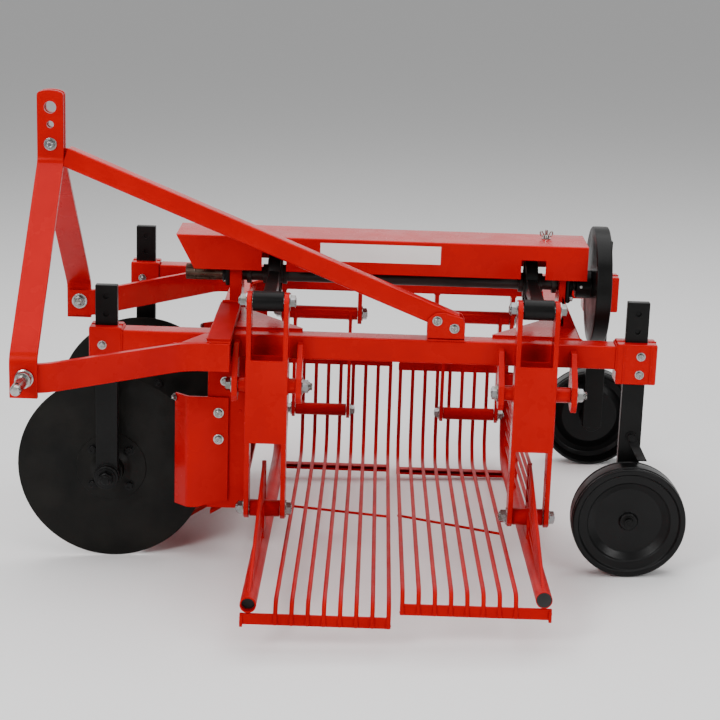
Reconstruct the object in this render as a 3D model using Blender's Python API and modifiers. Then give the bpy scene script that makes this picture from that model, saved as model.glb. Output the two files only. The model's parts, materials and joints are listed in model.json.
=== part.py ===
"""Side-discharge potato harvester: frame, hitch, share, two shaken sieves, discs and wheels."""
import math

import bmesh
import bpy
from mathutils import Matrix, Vector

# overall layout: x runs rearward, y across, z up, from the near beam's outer bottom edge
FIT = 0.0003
BEAM_SIDE = 0.050
BEAM_SPACING = 0.660
DISC_CLAMP_HALF = 0.034
WHEEL_CLAMP_HALF = 0.042
DISC_X = 0.267
WHEEL_X = 1.373
BEAM_FRONT_X = DISC_X + DISC_CLAMP_HALF + FIT
BEAM_REAR_X = WHEEL_X - WHEEL_CLAMP_HALF - FIT
MID_Y = (BEAM_SPACING + BEAM_SIDE) / 2.0

# hitch
PIN_X = 0.156
PIN_Z = 0.025
HITCH_NEAR_Y = -0.304
HITCH_FAR_Y = 0.382
HITCH_MID_Y = (HITCH_NEAR_Y + HITCH_FAR_Y) / 2.0
PIN_RADIUS = 0.011
PIN_LENGTH = 0.095
LEG_WIDTH = 0.054
LEG_THICK = 0.010
ARM_THICK = 0.012
ARM_TOP_Z = 0.050
ARM_BOTTOM_Z = -0.008
ARM_LEAD = 0.032
NEAR_BEND_X = 0.445
NEAR_TAIL_X = 0.533
NEAR_TAIL_Y = -0.084
FAR_BEND_X = 0.440
MAST_TOP_Z = 0.540
MAST_BEND_Z = 0.395
MAST_GAP = 0.010
TOP_HOLE_RADIUS = 0.0127
STRUT_SIDE = 0.040
STRUT_END_X = 1.004
STRUT_END_Y = 0.025
STRUT_END_Z = 0.080

# cross members and bearing posts
CROSS_FRONT_X = 0.488
CROSS_REAR_X = 1.212
CROSS_WIDTH = 0.050
POST_HALF_Y = 0.040
POST_THICK = 0.026

# drive line
SHAFT_Y = 0.200
SHAFT_Z = 0.137
SHAFT_RADIUS = 0.015
SHAFT_FRONT_X = 0.414
STUB_REAR_X = 0.492
ECCENTRIC_RADIUS = 0.026
ECCENTRIC_OFFSET = 0.008
ECCENTRIC_WIDTH = 0.032
FLYWHEEL_X = 1.290
FLYWHEEL_WIDTH = 0.033
FLYWHEEL_RADIUS = 0.126
COVER_FRONT_X = 0.399
COVER_REAR_X = 1.275
COVER_HALF_Y = 0.069
COVER_TOP_Z = 0.231
COVER_BOTTOM_Z = 0.158
COVER_SHEET = 0.003
NOTCH_WIDTH = 0.052
NOTCH_TOP_Z = 0.199

# rocker arms
ROCKER_LEFT_X = 0.608
ROCKER_RIGHT_X = 1.160
ROCKER_Y = -0.046
ROCKER_PIVOT_Z = -0.045
ROCKER_TOP_Z = 0.133
ROCKER_FOOT_Z = -0.313
ROCKER_HALF_WIDTH = 0.043
ROCKER_PLATE = 0.010
ROCKER_DEPTH = 0.052
BOLT_RADIUS = 0.008
BOLT_PLAY = 0.0008
SLEEVE_RADIUS = 0.016
HANGER_THICK = 0.012
BUSH_RADIUS = 0.021

# far links
LINK_INSET = 0.024
LINK_Y = BEAM_SPACING + LINK_INSET
LINK_TOP_Z = -0.060
LINK_FOOT_Z = -0.306
LINK_WIDTH = 0.036
LINK_PLATE = 0.008
LINK_OUTER_U = 0.026
LINK_INNER_U = 0.161

# sieves
SIEVE_LEFT_X = 0.603
SIEVE_RIGHT_X = 1.164
SIEVE_RODS = 8
ROD_FIRST_U = 0.0524
ROD_PITCH = 0.0308
ROD_RADIUS = 0.0045
SIDE_TUBE_RADIUS = 0.016
SIEVE_BAR_END_U = 0.272
SIEVE_TWIST = 0.0164
SIEVE_TWIST_Y = 0.450
MOUTH_Y = -0.455
FLOOR_MOUTH_Z = -0.347
FLOOR_WALL_Z = -0.4245
FENCE_RADIUS = 0.004
FENCE_RISES = (0.040, 0.075, 0.105, 0.133, 0.160)
FENCE_REACHES = (0.011, 0.029, 0.035, 0.037, 0.0395)
FOOT_SLEEVE_RADIUS = 0.0175
FOOT_SLEEVE_PLAY = 0.0015
CROSS_ROD_FALL = 0.076638

# discs, wheels and their stems
STEM_WIDTH = 0.046
STEM_THICK = 0.020
STEM_Y = 0.025
STEM_TOP_Z = 0.141
CLAMP_LOW_Z = -0.030
CLAMP_HIGH_Z = 0.056
DISC_Y = 0.085
DISC_Z = -0.276
DISC_RADIUS = 0.203
WHEEL_Y = -0.030
WHEEL_Z = -0.316
WHEEL_RADIUS = 0.120
WHEEL_HALF_WIDTH = 0.031

# share
SHARE_LEG_X0 = 0.480
SHARE_LEG_X1 = 0.564
SHARE_LEG_Y = 0.026
SHARE_LEG_THICK = 0.012
SHARE_LEG_FOOT_Z = -0.339
SHARE_FRONT_X = 0.330
SHARE_FRONT_Z = -0.457
SHARE_REAR_X = 0.560
SHARE_REAR_Z = -0.313
SHARE_INNER_Y = 0.100
GUARD_THICK = 0.006

# stance and the place of the whole machine
PLACE_X = -0.7664
PLACE_Y = -0.1559

RED = (0.72, 0.012, 0.008)
BLACK = (0.012, 0.012, 0.013)
ZINC = (0.55, 0.55, 0.56)
STEEL = (0.33, 0.29, 0.25)

for old in list(bpy.data.objects):
    bpy.data.objects.remove(old, do_unlink=True)

machine = bpy.data.collections.new("potato_harvester")
bpy.context.scene.collection.children.link(machine)


def stance_angle():
    """Nose-up lean that puts the discs and the wheels on one level floor."""
    rise = DISC_Z - WHEEL_Z
    reach = WHEEL_X - DISC_X
    drop = DISC_RADIUS - WHEEL_RADIUS
    return math.atan2(reach, rise) - math.acos(drop / math.hypot(rise, reach))


LEAN = stance_angle()
PLACE_Z = DISC_RADIUS - DISC_Z * math.cos(LEAN) + DISC_X * math.sin(LEAN)
root = bpy.data.objects.new("stance", None)
root.empty_display_size = 0.05
root.rotation_euler = (0.0, LEAN, 0.0)
root.location = (PLACE_X, PLACE_Y, PLACE_Z)
machine.objects.link(root)


def far(y):
    """Mirror a near-side y to the far side."""
    return 2.0 * MID_Y - y


def adopt(mesh):
    """Wrap a mesh as a loose object in the working scene."""
    obj = bpy.data.objects.new("work", mesh)
    machine.objects.link(obj)
    return obj


def from_bmesh(bm):
    """Turn a bmesh into an object with outward faces."""
    bmesh.ops.recalc_face_normals(bm, faces=bm.faces)
    mesh = bpy.data.meshes.new("work")
    bm.to_mesh(mesh)
    bm.free()
    return adopt(mesh)


def block(x0, x1, y0, y1, z0, z1):
    """Box between two corners."""
    bm = bmesh.new()
    bmesh.ops.create_cube(bm, size=1.0)
    middle = Vector(((x0 + x1) / 2.0, (y0 + y1) / 2.0, (z0 + z1) / 2.0))
    size = (abs(x1 - x0), abs(y1 - y0), abs(z1 - z0))
    bmesh.ops.scale(bm, vec=size, verts=bm.verts)
    bmesh.ops.translate(bm, vec=middle, verts=bm.verts)
    return from_bmesh(bm)


def drum(start, end, radius, steps=24, end_radius=None):
    """Capped cylinder or cone between two points."""
    start = Vector(start)
    end = Vector(end)
    axis = end - start
    bm = bmesh.new()
    bmesh.ops.create_cone(
        bm,
        cap_ends=True,
        segments=steps,
        radius1=radius,
        radius2=radius if end_radius is None else end_radius,
        depth=axis.length,
    )
    turn = axis.to_track_quat("Z", "Y").to_matrix().to_4x4()
    bmesh.ops.transform(bm, matrix=Matrix.Translation((start + end) / 2.0) @ turn, verts=bm.verts)
    return from_bmesh(bm)


def hull(points):
    """Convex solid around a set of points."""
    bm = bmesh.new()
    for point in points:
        bm.verts.new(point)
    bmesh.ops.convex_hull(bm, input=bm.verts)
    bmesh.ops.dissolve_limit(bm, angle_limit=0.001, verts=bm.verts, edges=bm.edges)
    return from_bmesh(bm)


def baked(obj):
    """Replace an object's mesh by its evaluated mesh, in machine coordinates."""
    bpy.context.view_layer.update()
    graph = bpy.context.evaluated_depsgraph_get()
    shape = obj.evaluated_get(graph)
    mesh = bpy.data.meshes.new_from_object(shape, depsgraph=graph)
    mesh.transform(obj.matrix_world)
    bm = bmesh.new()
    bm.from_mesh(mesh)
    bmesh.ops.remove_doubles(bm, verts=bm.verts, dist=0.000002)
    bpy.data.objects.remove(obj, do_unlink=True)
    return from_bmesh(bm)


def prism(points, axis, low, high):
    """Flat outline pushed out along one axis."""
    curve = bpy.data.curves.new("outline", "CURVE")
    curve.dimensions = "2D"
    curve.fill_mode = "BOTH"
    curve.extrude = (high - low) / 2.0
    spline = curve.splines.new("POLY")
    spline.points.add(len(points) - 1)
    for slot, point in zip(spline.points, points):
        slot.co = (point[0], point[1], 0.0, 1.0)
    spline.use_cyclic_u = True
    obj = adopt(curve)
    middle = (low + high) / 2.0
    if axis == "Z":
        obj.matrix_world = Matrix.Translation((0.0, 0.0, middle))
    elif axis == "Y":
        obj.matrix_world = Matrix.Translation((0.0, middle, 0.0)) @ Matrix.Rotation(math.pi / 2.0, 4, "X")
    else:
        turn = Matrix(((0, 0, 1, 0), (1, 0, 0, 0), (0, 1, 0, 0), (0, 0, 0, 1)))
        obj.matrix_world = Matrix.Translation((middle, 0.0, 0.0)) @ turn
    return baked(obj)


def sweep(points, radius):
    """Round bar along a line of points."""
    curve = bpy.data.curves.new("bar", "CURVE")
    curve.dimensions = "3D"
    curve.bevel_depth = radius
    curve.bevel_resolution = 2
    curve.use_fill_caps = True
    spline = curve.splines.new("POLY")
    spline.points.add(len(points) - 1)
    for slot, point in zip(spline.points, points):
        slot.co = (point[0], point[1], point[2], 1.0)
    return baked(adopt(curve))


def strip(points, half, thick, axis="X"):
    """Flat bar with a bent centre line in the YZ plane (axis X) or the XY plane (axis Z)."""
    left = []
    right = []
    count = len(points)
    for index, point in enumerate(points):
        here = Vector(point)
        ways = []
        if index > 0:
            ways.append((here - Vector(points[index - 1])).normalized())
        if index < count - 1:
            ways.append((Vector(points[index + 1]) - here).normalized())
        way = sum(ways, Vector((0.0, 0.0))).normalized()
        side = Vector((-way.y, way.x))
        stretch = thick / 2.0 / max(0.3, abs(side.dot(Vector((-ways[0].y, ways[0].x)))))
        left.append(here + side * stretch)
        right.append(here - side * stretch)
    outline = [tuple(point) for point in left + right[::-1]]
    return prism(outline, axis, half[0], half[1])


def lathe(profile, steps, centre, flip=False):
    """Turned body about a line along y through the centre; profile pairs are radius and offset."""
    mesh = bpy.data.meshes.new("profile")
    count = len(profile)
    points = [(radius, 0.0, offset) for radius, offset in profile]
    closed = profile[0][0] > 0.0
    edges = [(index, index + 1) for index in range(count - 1)]
    if closed:
        edges.append((count - 1, 0))
    mesh.from_pydata(points, edges, [])
    obj = adopt(mesh)
    screw = obj.modifiers.new("turn", "SCREW")
    screw.axis = "Z"
    screw.angle = 2.0 * math.pi
    screw.steps = steps
    screw.render_steps = steps
    screw.use_merge_vertices = True
    screw.merge_threshold = 0.00001
    turn = Matrix.Rotation(math.pi / 2.0 if flip else -math.pi / 2.0, 4, "X")
    obj.matrix_world = Matrix.Translation(centre) @ turn
    return baked(obj)


def combine(base, tools, operation):
    """Apply Boolean steps one after another and bake the result."""
    for tool in tools:
        step = base.modifiers.new("step", "BOOLEAN")
        step.operation = operation
        step.solver = "EXACT"
        step.object = tool
    result = baked(base)
    for tool in tools:
        bpy.data.objects.remove(tool, do_unlink=True)
    return result


def union(base, *tools):
    """Join solids into one body."""
    return combine(base, tools, "UNION")


def cut(base, *tools):
    """Take solids out of a body."""
    return combine(base, tools, "DIFFERENCE")


def finish(obj, name, color, pivot=None, smooth=False, metal=0.0, rough=0.35):
    """Name, colour and place one sub-part; the pivot becomes its origin."""
    obj.name = name
    obj.data.name = name
    paint = bpy.data.materials.new(name)
    paint.use_nodes = True
    shader = paint.node_tree.nodes["Principled BSDF"]
    shader.inputs["Base Color"].default_value = (*color, 1.0)
    shader.inputs["Metallic"].default_value = metal
    shader.inputs["Roughness"].default_value = rough
    paint.diffuse_color = (*color, 1.0)
    obj.data.materials.clear()
    obj.data.materials.append(paint)
    for face in obj.data.polygons:
        face.use_smooth = smooth
    if pivot is not None:
        obj.data.transform(Matrix.Translation(-Vector(pivot)))
        obj.location = pivot
    obj.parent = root
    return obj


def hanger(x0, x1, wall_y, pin_y, pin_z, top_z, away):
    """Plate on a beam that holds one end of a pivot bolt."""
    reach = 0.026
    outline = [
        (wall_y, top_z),
        (wall_y, pin_z - 0.012),
        (pin_y + away * 0.012, pin_z - 0.034),
        (pin_y - away * 0.014, pin_z - 0.034),
        (pin_y - away * reach, pin_z - 0.018),
        (pin_y - away * reach, pin_z + 0.020),
        (wall_y - away * 0.020, top_z),
    ]
    return prism(outline, "X", x0, x1)


# ---- beams ----
LEFT_HANGERS = (0.536, 0.668)
RIGHT_HANGERS = (1.085, 1.235)


def near_beam():
    """Square beam with the hangers and bolts of both rocker arms."""
    body = block(BEAM_FRONT_X, BEAM_REAR_X, 0.0, BEAM_SIDE, 0.0, BEAM_SIDE)
    extras = []
    for low, high in (LEFT_HANGERS, RIGHT_HANGERS):
        for x in (low, high):
            extras.append(hanger(x, x + HANGER_THICK, 0.002, ROCKER_Y, ROCKER_PIVOT_Z, 0.034, 1.0))
        ends = ((low - 0.010, ROCKER_Y, ROCKER_PIVOT_Z), (high + HANGER_THICK + 0.010, ROCKER_Y, ROCKER_PIVOT_Z))
        extras.append(drum(ends[0], ends[1], BOLT_RADIUS, 16))
    return finish(union(body, *extras), "near_beam", RED)


def far_beam():
    """Second square beam with the hangers of both far links."""
    low_y = BEAM_SPACING
    body = block(BEAM_FRONT_X, BEAM_REAR_X, low_y, low_y + BEAM_SIDE, 0.0, BEAM_SIDE)
    extras = []
    for base, side in ((SIEVE_LEFT_X, 1.0), (SIEVE_RIGHT_X, -1.0)):
        outer = sorted((base - side * 0.003, base + side * 0.007))
        inner = sorted((base + side * 0.182, base + side * 0.192))
        for x0, x1 in (outer, inner):
            outline = [
                (LINK_Y - 0.022, 0.002),
                (LINK_Y - 0.022, LINK_TOP_Z - 0.010),
                (LINK_Y - 0.010, LINK_TOP_Z - 0.024),
                (LINK_Y + 0.010, LINK_TOP_Z - 0.024),
                (LINK_Y + 0.022, LINK_TOP_Z - 0.010),
                (LINK_Y + 0.022, 0.002),
            ]
            extras.append(prism(outline, "X", x0, x1))
        start = base - side * 0.013
        end = base + side * 0.202
        extras.append(drum((start, LINK_Y, LINK_TOP_Z), (end, LINK_Y, LINK_TOP_Z), BOLT_RADIUS, 16))
    return finish(union(body, *extras), "far_beam", RED)


near_beam()
far_beam()

# ---- cross members ----
for name, x in (("front_cross_member", CROSS_FRONT_X), ("rear_cross_member", CROSS_REAR_X)):
    bar = block(x, x + CROSS_WIDTH, BEAM_SIDE + FIT, BEAM_SPACING - FIT, 0.0, BEAM_SIDE)
    finish(bar, name, RED)

# ---- hitch ----


def hitch_arm(outer_y, turn, bend_x, tail_x, tail_y):
    """Flat arm from a lower pin slantwise back to a beam, where it runs along the beam."""
    start_y = outer_y + turn * (LEG_THICK + FIT + ARM_THICK / 2.0)
    centre = [(PIN_X - 0.025, start_y), (PIN_X + ARM_LEAD, start_y), (bend_x, tail_y), (tail_x, tail_y)]
    return strip(centre, (ARM_BOTTOM_Z, ARM_TOP_Z), ARM_THICK, "Z")


near_arm = hitch_arm(HITCH_NEAR_Y, 1.0, NEAR_BEND_X, NEAR_TAIL_X, NEAR_TAIL_Y)
near_box = block(
    CROSS_FRONT_X, NEAR_TAIL_X - 0.001, NEAR_TAIL_Y, -FIT, ARM_BOTTOM_Z + 0.002, ARM_TOP_Z - 0.001
)
finish(union(near_arm, near_box), "near_hitch_arm", RED)
far_arm = hitch_arm(
    HITCH_FAR_Y,
    -1.0,
    FAR_BEND_X,
    CROSS_FRONT_X - 0.004,
    BEAM_SPACING - FIT - ARM_THICK / 2.0,
)
finish(far_arm, "far_hitch_arm", RED)


def mast_leg(name, foot_y, side):
    """Flat leg from a lower pin up to the top-link plate."""
    top_y = HITCH_MID_Y - side * (MAST_GAP / 2.0 + LEG_THICK / 2.0)
    low_y = foot_y + side * LEG_THICK / 2.0
    centre = [(low_y, -0.016), (low_y, ARM_TOP_Z + 0.012), (top_y, MAST_BEND_Z), (top_y, MAST_TOP_Z - LEG_WIDTH / 2.0)]
    x0 = PIN_X - 0.030
    x1 = x0 + LEG_WIDTH
    leg = strip(centre, (x0, x1), LEG_THICK, "X")
    cap_z = MAST_TOP_Z - LEG_WIDTH / 2.0
    mid_x = (x0 + x1) / 2.0
    y0 = top_y - LEG_THICK / 2.0
    y1 = top_y + LEG_THICK / 2.0
    cap = drum((mid_x, y0, cap_z), (mid_x, y1, cap_z), LEG_WIDTH / 2.0, 32)
    leg = union(leg, cap)
    holes = []
    for z, radius in ((0.505, TOP_HOLE_RADIUS), (0.470, 0.008)):
        holes.append(drum((mid_x, y0 - 0.01, z), (mid_x, y1 + 0.01, z), radius, 20))
    return finish(cut(leg, *holes), name, RED)


mast_leg("near_mast_leg", HITCH_NEAR_Y, 1.0)
mast_leg("far_mast_leg", HITCH_FAR_Y, -1.0)

PIN_PROFILE = [
    (0.0, 0.0),
    (0.019, 0.0),
    (0.019, 0.022),
    (PIN_RADIUS, 0.024),
    (PIN_RADIUS, PIN_LENGTH - 0.005),
    (PIN_RADIUS * 0.7, PIN_LENGTH),
    (0.0, PIN_LENGTH),
]
for name, y, side in (("near_lower_pin", HITCH_NEAR_Y, -1.0), ("far_lower_pin", HITCH_FAR_Y, 1.0)):
    pin = lathe(PIN_PROFILE, 24, (PIN_X, y + side * FIT, PIN_Z), side < 0)
    finish(pin, name, ZINC, metal=1.0)

# ---- top strut ----


def top_strut():
    """Sloping square tube from the mast down to the near beam, with a tongue between the plates."""
    head = Vector((PIN_X + 0.026, HITCH_MID_Y, 0.4055))
    foot = Vector((STRUT_END_X, STRUT_END_Y, STRUT_END_Z))
    way = (foot - head).normalized()
    across = Vector((0.0, 1.0, 0.0))
    up = across.cross(way).normalized()
    if up.z < 0:
        up = -up
    half = STRUT_SIDE / 2.0
    corners = []
    for spot in (head, foot):
        for a in (-1.0, 1.0):
            for b in (-1.0, 1.0):
                corners.append(spot + across * a * (half if spot is head else 0.0165) + up * b * half)
    tube = hull(corners)
    tube = cut(
        tube,
        block(0.0, 2.0, -0.2, 0.3, -0.2, BEAM_SIDE + 0.0066),
        block(0.0, PIN_X + 0.0245, -0.2, 0.3, 0.0, 0.6),
        block(STRUT_END_X - 0.002, 2.0, -0.2, 0.3, 0.0, 0.6),
    )
    tongue_half = MAST_GAP / 2.0 - FIT
    tongue = block(
        PIN_X - 0.024,
        PIN_X + 0.040,
        HITCH_MID_Y - tongue_half,
        HITCH_MID_Y + tongue_half,
        0.388,
        0.440,
    )
    tube = union(tube, tongue)
    return finish(tube, "top_strut", RED)


top_strut()

cheek_outline = [(0.936, BEAM_SIDE + FIT), (1.014, BEAM_SIDE + FIT), (1.014, 0.100), (0.958, 0.112), (0.936, 0.100)]
near_cheek = prism(cheek_outline, "Y", 0.0005, 0.0065)
far_cheek = prism(cheek_outline, "Y", 0.0435, 0.0495)
base = block(0.936, 1.014, 0.0005, 0.0495, BEAM_SIDE + FIT, BEAM_SIDE + 0.0063)
finish(union(base, near_cheek, far_cheek), "strut_bracket", RED)

# ---- posts, bearings, cover ----


def bearing_post(name, x0, x1, gusset_x):
    """Upright on a cross member that holds a shaft bearing."""
    top = COVER_TOP_Z - COVER_SHEET - FIT
    body = block(x0, x1, SHAFT_Y - POST_HALF_Y, SHAFT_Y + POST_HALF_Y, BEAM_SIDE + FIT, top)
    outline = [
        ((x0 + x1) / 2.0, BEAM_SIDE + FIT),
        (gusset_x, BEAM_SIDE + FIT),
        ((x0 + x1) / 2.0, 0.120),
    ]
    if gusset_x > x0:
        outline = outline[::-1]
    rib = prism(outline, "Y", SHAFT_Y - POST_HALF_Y - 0.0, SHAFT_Y - POST_HALF_Y + 0.008)
    body = union(body, rib)
    bore = drum((x0 - 0.02, SHAFT_Y, SHAFT_Z), (x1 + 0.02, SHAFT_Y, SHAFT_Z), SHAFT_RADIUS + 0.002, 24)
    return finish(cut(body, bore), name, RED)


bearing_post("front_bearing_post", 0.512, 0.512 + POST_THICK, 0.492)
bearing_post("rear_bearing_post", 1.220, 1.234, 1.260)

for name, x0, x1 in (("front_bearing", 0.496, 0.512 - FIT), ("rear_bearing", 1.234 + FIT, 1.252)):
    plate = drum((x0, SHAFT_Y, SHAFT_Z), (x1, SHAFT_Y, SHAFT_Z), 0.040, 24)
    bore = drum((x0 - 0.01, SHAFT_Y, SHAFT_Z), (x1 + 0.01, SHAFT_Y, SHAFT_Z), SHAFT_RADIUS + 0.0008, 24)
    plate = cut(plate, bore)
    finish(plate, name, BLACK)


def shaft_cover():
    """Folded sheet over the shaft, open below, with a notch for each connecting rod."""
    y0 = SHAFT_Y - COVER_HALF_Y
    y1 = SHAFT_Y + COVER_HALF_Y
    t = COVER_SHEET
    body = block(COVER_FRONT_X, COVER_REAR_X, y0, y1, COVER_BOTTOM_Z, COVER_TOP_Z)
    inner = block(COVER_FRONT_X - 0.1, COVER_REAR_X + 0.1, y0 + t, y1 - t, COVER_BOTTOM_Z - 0.1, COVER_TOP_Z - t)
    slant = prism(
        [
            (COVER_FRONT_X - 0.02, COVER_TOP_Z + 0.0375),
            (COVER_FRONT_X - 0.02, COVER_BOTTOM_Z - 0.03),
            (COVER_FRONT_X + 0.055, COVER_BOTTOM_Z - 0.03),
        ],
        "Y",
        y0 - 0.05,
        y1 + 0.05,
    )
    tools = [inner, slant]
    for x in (ROCKER_LEFT_X, ROCKER_RIGHT_X):
        half = NOTCH_WIDTH / 2.0
        tools.append(block(x - half, x + half, y0 - 0.05, SHAFT_Y, COVER_BOTTOM_Z - 0.1, NOTCH_TOP_Z))
    return finish(cut(body, *tools), "shaft_cover", RED)


shaft_cover()

# ---- drive shaft and flywheel ----


def drive_shaft():
    """Shaft with a splined stub and two eccentrics set half a turn apart."""
    shaft = drum((STUB_REAR_X, SHAFT_Y, SHAFT_Z), (FLYWHEEL_X + FLYWHEEL_WIDTH, SHAFT_Y, SHAFT_Z), SHAFT_RADIUS, 24)
    extras = [
        drum((SHAFT_FRONT_X, SHAFT_Y, SHAFT_Z), (STUB_REAR_X + 0.002, SHAFT_Y, SHAFT_Z), 0.0145, 24),
    ]
    for index in range(6):
        angle = index * math.pi / 3.0
        y = SHAFT_Y + 0.0145 * math.cos(angle)
        z = SHAFT_Z + 0.0145 * math.sin(angle)
        extras.append(drum((SHAFT_FRONT_X + 0.002, y, z), (STUB_REAR_X - 0.012, y, z), 0.0032, 8))
    for x, sign in ((ROCKER_LEFT_X, 1.0), (ROCKER_RIGHT_X, -1.0)):
        z = SHAFT_Z + sign * ECCENTRIC_OFFSET
        half = ECCENTRIC_WIDTH / 2.0
        extras.append(drum((x - half, SHAFT_Y, z), (x + half, SHAFT_Y, z), ECCENTRIC_RADIUS, 28))
    body = union(shaft, *extras)
    return finish(body, "drive_shaft", STEEL, (SHAFT_FRONT_X, SHAFT_Y, SHAFT_Z), metal=0.8)


drive_shaft()

flywheel = drum(
    (FLYWHEEL_X, SHAFT_Y, SHAFT_Z),
    (FLYWHEEL_X + FLYWHEEL_WIDTH, SHAFT_Y, SHAFT_Z),
    FLYWHEEL_RADIUS,
    48,
)
hub = drum((FLYWHEEL_X - 0.032, SHAFT_Y, SHAFT_Z), (FLYWHEEL_X + 0.01, SHAFT_Y, SHAFT_Z), 0.030, 28)
bore = drum(
    (FLYWHEEL_X - 0.05, SHAFT_Y, SHAFT_Z),
    (FLYWHEEL_X + 0.1, SHAFT_Y, SHAFT_Z),
    SHAFT_RADIUS + FIT,
    24,
)
finish(cut(union(flywheel, hub), bore), "flywheel", BLACK, (FLYWHEEL_X, SHAFT_Y, SHAFT_Z), rough=0.25)

# ---- rocker arms and connecting rods ----


def rocker_arm(name, x, hangers, box_top):
    """Two side plates with a boxed middle, a sleeve on the pivot bolt and a bolt at each end."""
    half = ROCKER_HALF_WIDTH
    front = ROCKER_Y - ROCKER_DEPTH / 2.0
    back = ROCKER_Y + ROCKER_DEPTH / 2.0
    outline = [
        (back, ROCKER_TOP_Z + 0.006),
        (ROCKER_Y + 0.010, ROCKER_TOP_Z + 0.018),
        (ROCKER_Y - 0.010, ROCKER_TOP_Z + 0.018),
        (front, ROCKER_TOP_Z + 0.006),
        (front, ROCKER_FOOT_Z - 0.0062),
        (ROCKER_Y - 0.010, ROCKER_FOOT_Z - 0.020),
        (ROCKER_Y + 0.010, ROCKER_FOOT_Z - 0.020),
        (back, ROCKER_FOOT_Z - 0.0062),
    ]
    left = prism(outline, "X", x - half, x - half + ROCKER_PLATE)
    right = prism(outline, "X", x + half - ROCKER_PLATE, x + half)
    box = block(x - half - 0.0005, x + half + 0.0005, front - 0.001, front + 0.007, -0.181, box_top)
    sleeve_ends = (hangers[0] + HANGER_THICK + 0.0008, hangers[1] - 0.0008)
    sleeve = drum(
        (sleeve_ends[0], ROCKER_Y, ROCKER_PIVOT_Z),
        (sleeve_ends[1], ROCKER_Y, ROCKER_PIVOT_Z),
        SLEEVE_RADIUS,
        24,
    )
    top_bolt = drum(
        (x - half - 0.012, ROCKER_Y, ROCKER_TOP_Z),
        (x + half + 0.012, ROCKER_Y, ROCKER_TOP_Z),
        BOLT_RADIUS,
        16,
    )
    foot_bolt = drum(
        (x - half - 0.012, ROCKER_Y, ROCKER_FOOT_Z),
        (x + half + 0.012, ROCKER_Y, ROCKER_FOOT_Z),
        BOLT_RADIUS,
        16,
    )
    body = union(left, right, box, sleeve, top_bolt, foot_bolt)
    bore = drum(
        (sleeve_ends[0] - 0.01, ROCKER_Y, ROCKER_PIVOT_Z),
        (sleeve_ends[1] + 0.01, ROCKER_Y, ROCKER_PIVOT_Z),
        BOLT_RADIUS + BOLT_PLAY,
        16,
    )
    return finish(cut(body, bore), name, RED, (x, ROCKER_Y, ROCKER_PIVOT_Z))


rocker_arm("left_rocker_arm", ROCKER_LEFT_X, LEFT_HANGERS, 0.004)
rocker_arm("right_rocker_arm", ROCKER_RIGHT_X, RIGHT_HANGERS, -0.022)


def connecting_rod(name, x):
    """Bush on the rocker bolt, a flat rod, and an eye that rings the eccentric."""
    inner = ROCKER_HALF_WIDTH - ROCKER_PLATE - 0.002
    bush = drum((x - inner, ROCKER_Y, ROCKER_TOP_Z), (x + inner, ROCKER_Y, ROCKER_TOP_Z), BUSH_RADIUS, 24)
    eye_bore = ECCENTRIC_RADIUS + 2.0 * ECCENTRIC_OFFSET + 0.002
    half = ECCENTRIC_WIDTH / 2.0 - 0.002
    eye = drum((x - half, SHAFT_Y, SHAFT_Z), (x + half, SHAFT_Y, SHAFT_Z), eye_bore + 0.008, 32)
    rod = hull(
        [
            (x + a * 0.012, y, z + b * h)
            for y, z, h in ((ROCKER_Y, ROCKER_TOP_Z, 0.012), (SHAFT_Y - eye_bore - 0.004, SHAFT_Z, 0.015))
            for a in (-1.0, 1.0)
            for b in (-1.0, 1.0)
        ]
    )
    body = union(bush, rod, eye)
    hole = drum((x - 0.1, SHAFT_Y, SHAFT_Z), (x + 0.1, SHAFT_Y, SHAFT_Z), eye_bore, 32)
    bolt_hole = drum((x - 0.1, ROCKER_Y, ROCKER_TOP_Z), (x + 0.1, ROCKER_Y, ROCKER_TOP_Z), BOLT_RADIUS + BOLT_PLAY, 16)
    return finish(cut(body, hole, bolt_hole), name, BLACK, (x, ROCKER_Y, ROCKER_TOP_Z))


connecting_rod("left_connecting_rod", ROCKER_LEFT_X)
connecting_rod("right_connecting_rod", ROCKER_RIGHT_X)

# ---- far links ----


def far_link(name, base, side):
    """Sleeve on the beam bolt with a bar at each end that hangs down to the sieve pin."""
    tube_ends = sorted((base + side * 0.0078, base + side * 0.1812))
    sleeve = drum((tube_ends[0], LINK_Y, LINK_TOP_Z), (tube_ends[1], LINK_Y, LINK_TOP_Z), SLEEVE_RADIUS, 24)
    bars = []
    half = LINK_WIDTH / 2.0
    outline = [
        (LINK_Y + half, LINK_TOP_Z + 0.006),
        (LINK_Y + 0.008, LINK_TOP_Z + 0.013),
        (LINK_Y - 0.008, LINK_TOP_Z + 0.013),
        (LINK_Y - half, LINK_TOP_Z + 0.006),
        (LINK_Y - half, LINK_FOOT_Z - 0.008),
        (LINK_Y - 0.008, LINK_FOOT_Z - 0.019),
        (LINK_Y + 0.008, LINK_FOOT_Z - 0.019),
        (LINK_Y + half, LINK_FOOT_Z - 0.008),
    ]
    for u in (LINK_OUTER_U, LINK_INNER_U):
        x0, x1 = sorted((base + side * u, base + side * (u + LINK_PLATE)))
        bars.append(prism(outline, "X", x0, x1))
    body = union(sleeve, *bars)
    ends = (base - side * 0.02, base + side * 0.21)
    bore = drum((ends[0], LINK_Y, LINK_TOP_Z), (ends[1], LINK_Y, LINK_TOP_Z), BOLT_RADIUS + BOLT_PLAY, 16)
    eye = drum((ends[0], LINK_Y, LINK_FOOT_Z), (ends[1], LINK_Y, LINK_FOOT_Z), BOLT_RADIUS + 0.0015, 16)
    return finish(cut(body, bore, eye), name, RED, (base + side * 0.1, LINK_Y, LINK_TOP_Z))


far_link("left_far_link", SIEVE_LEFT_X, 1.0)
far_link("right_far_link", SIEVE_RIGHT_X, -1.0)

# ---- sieves ----


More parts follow.
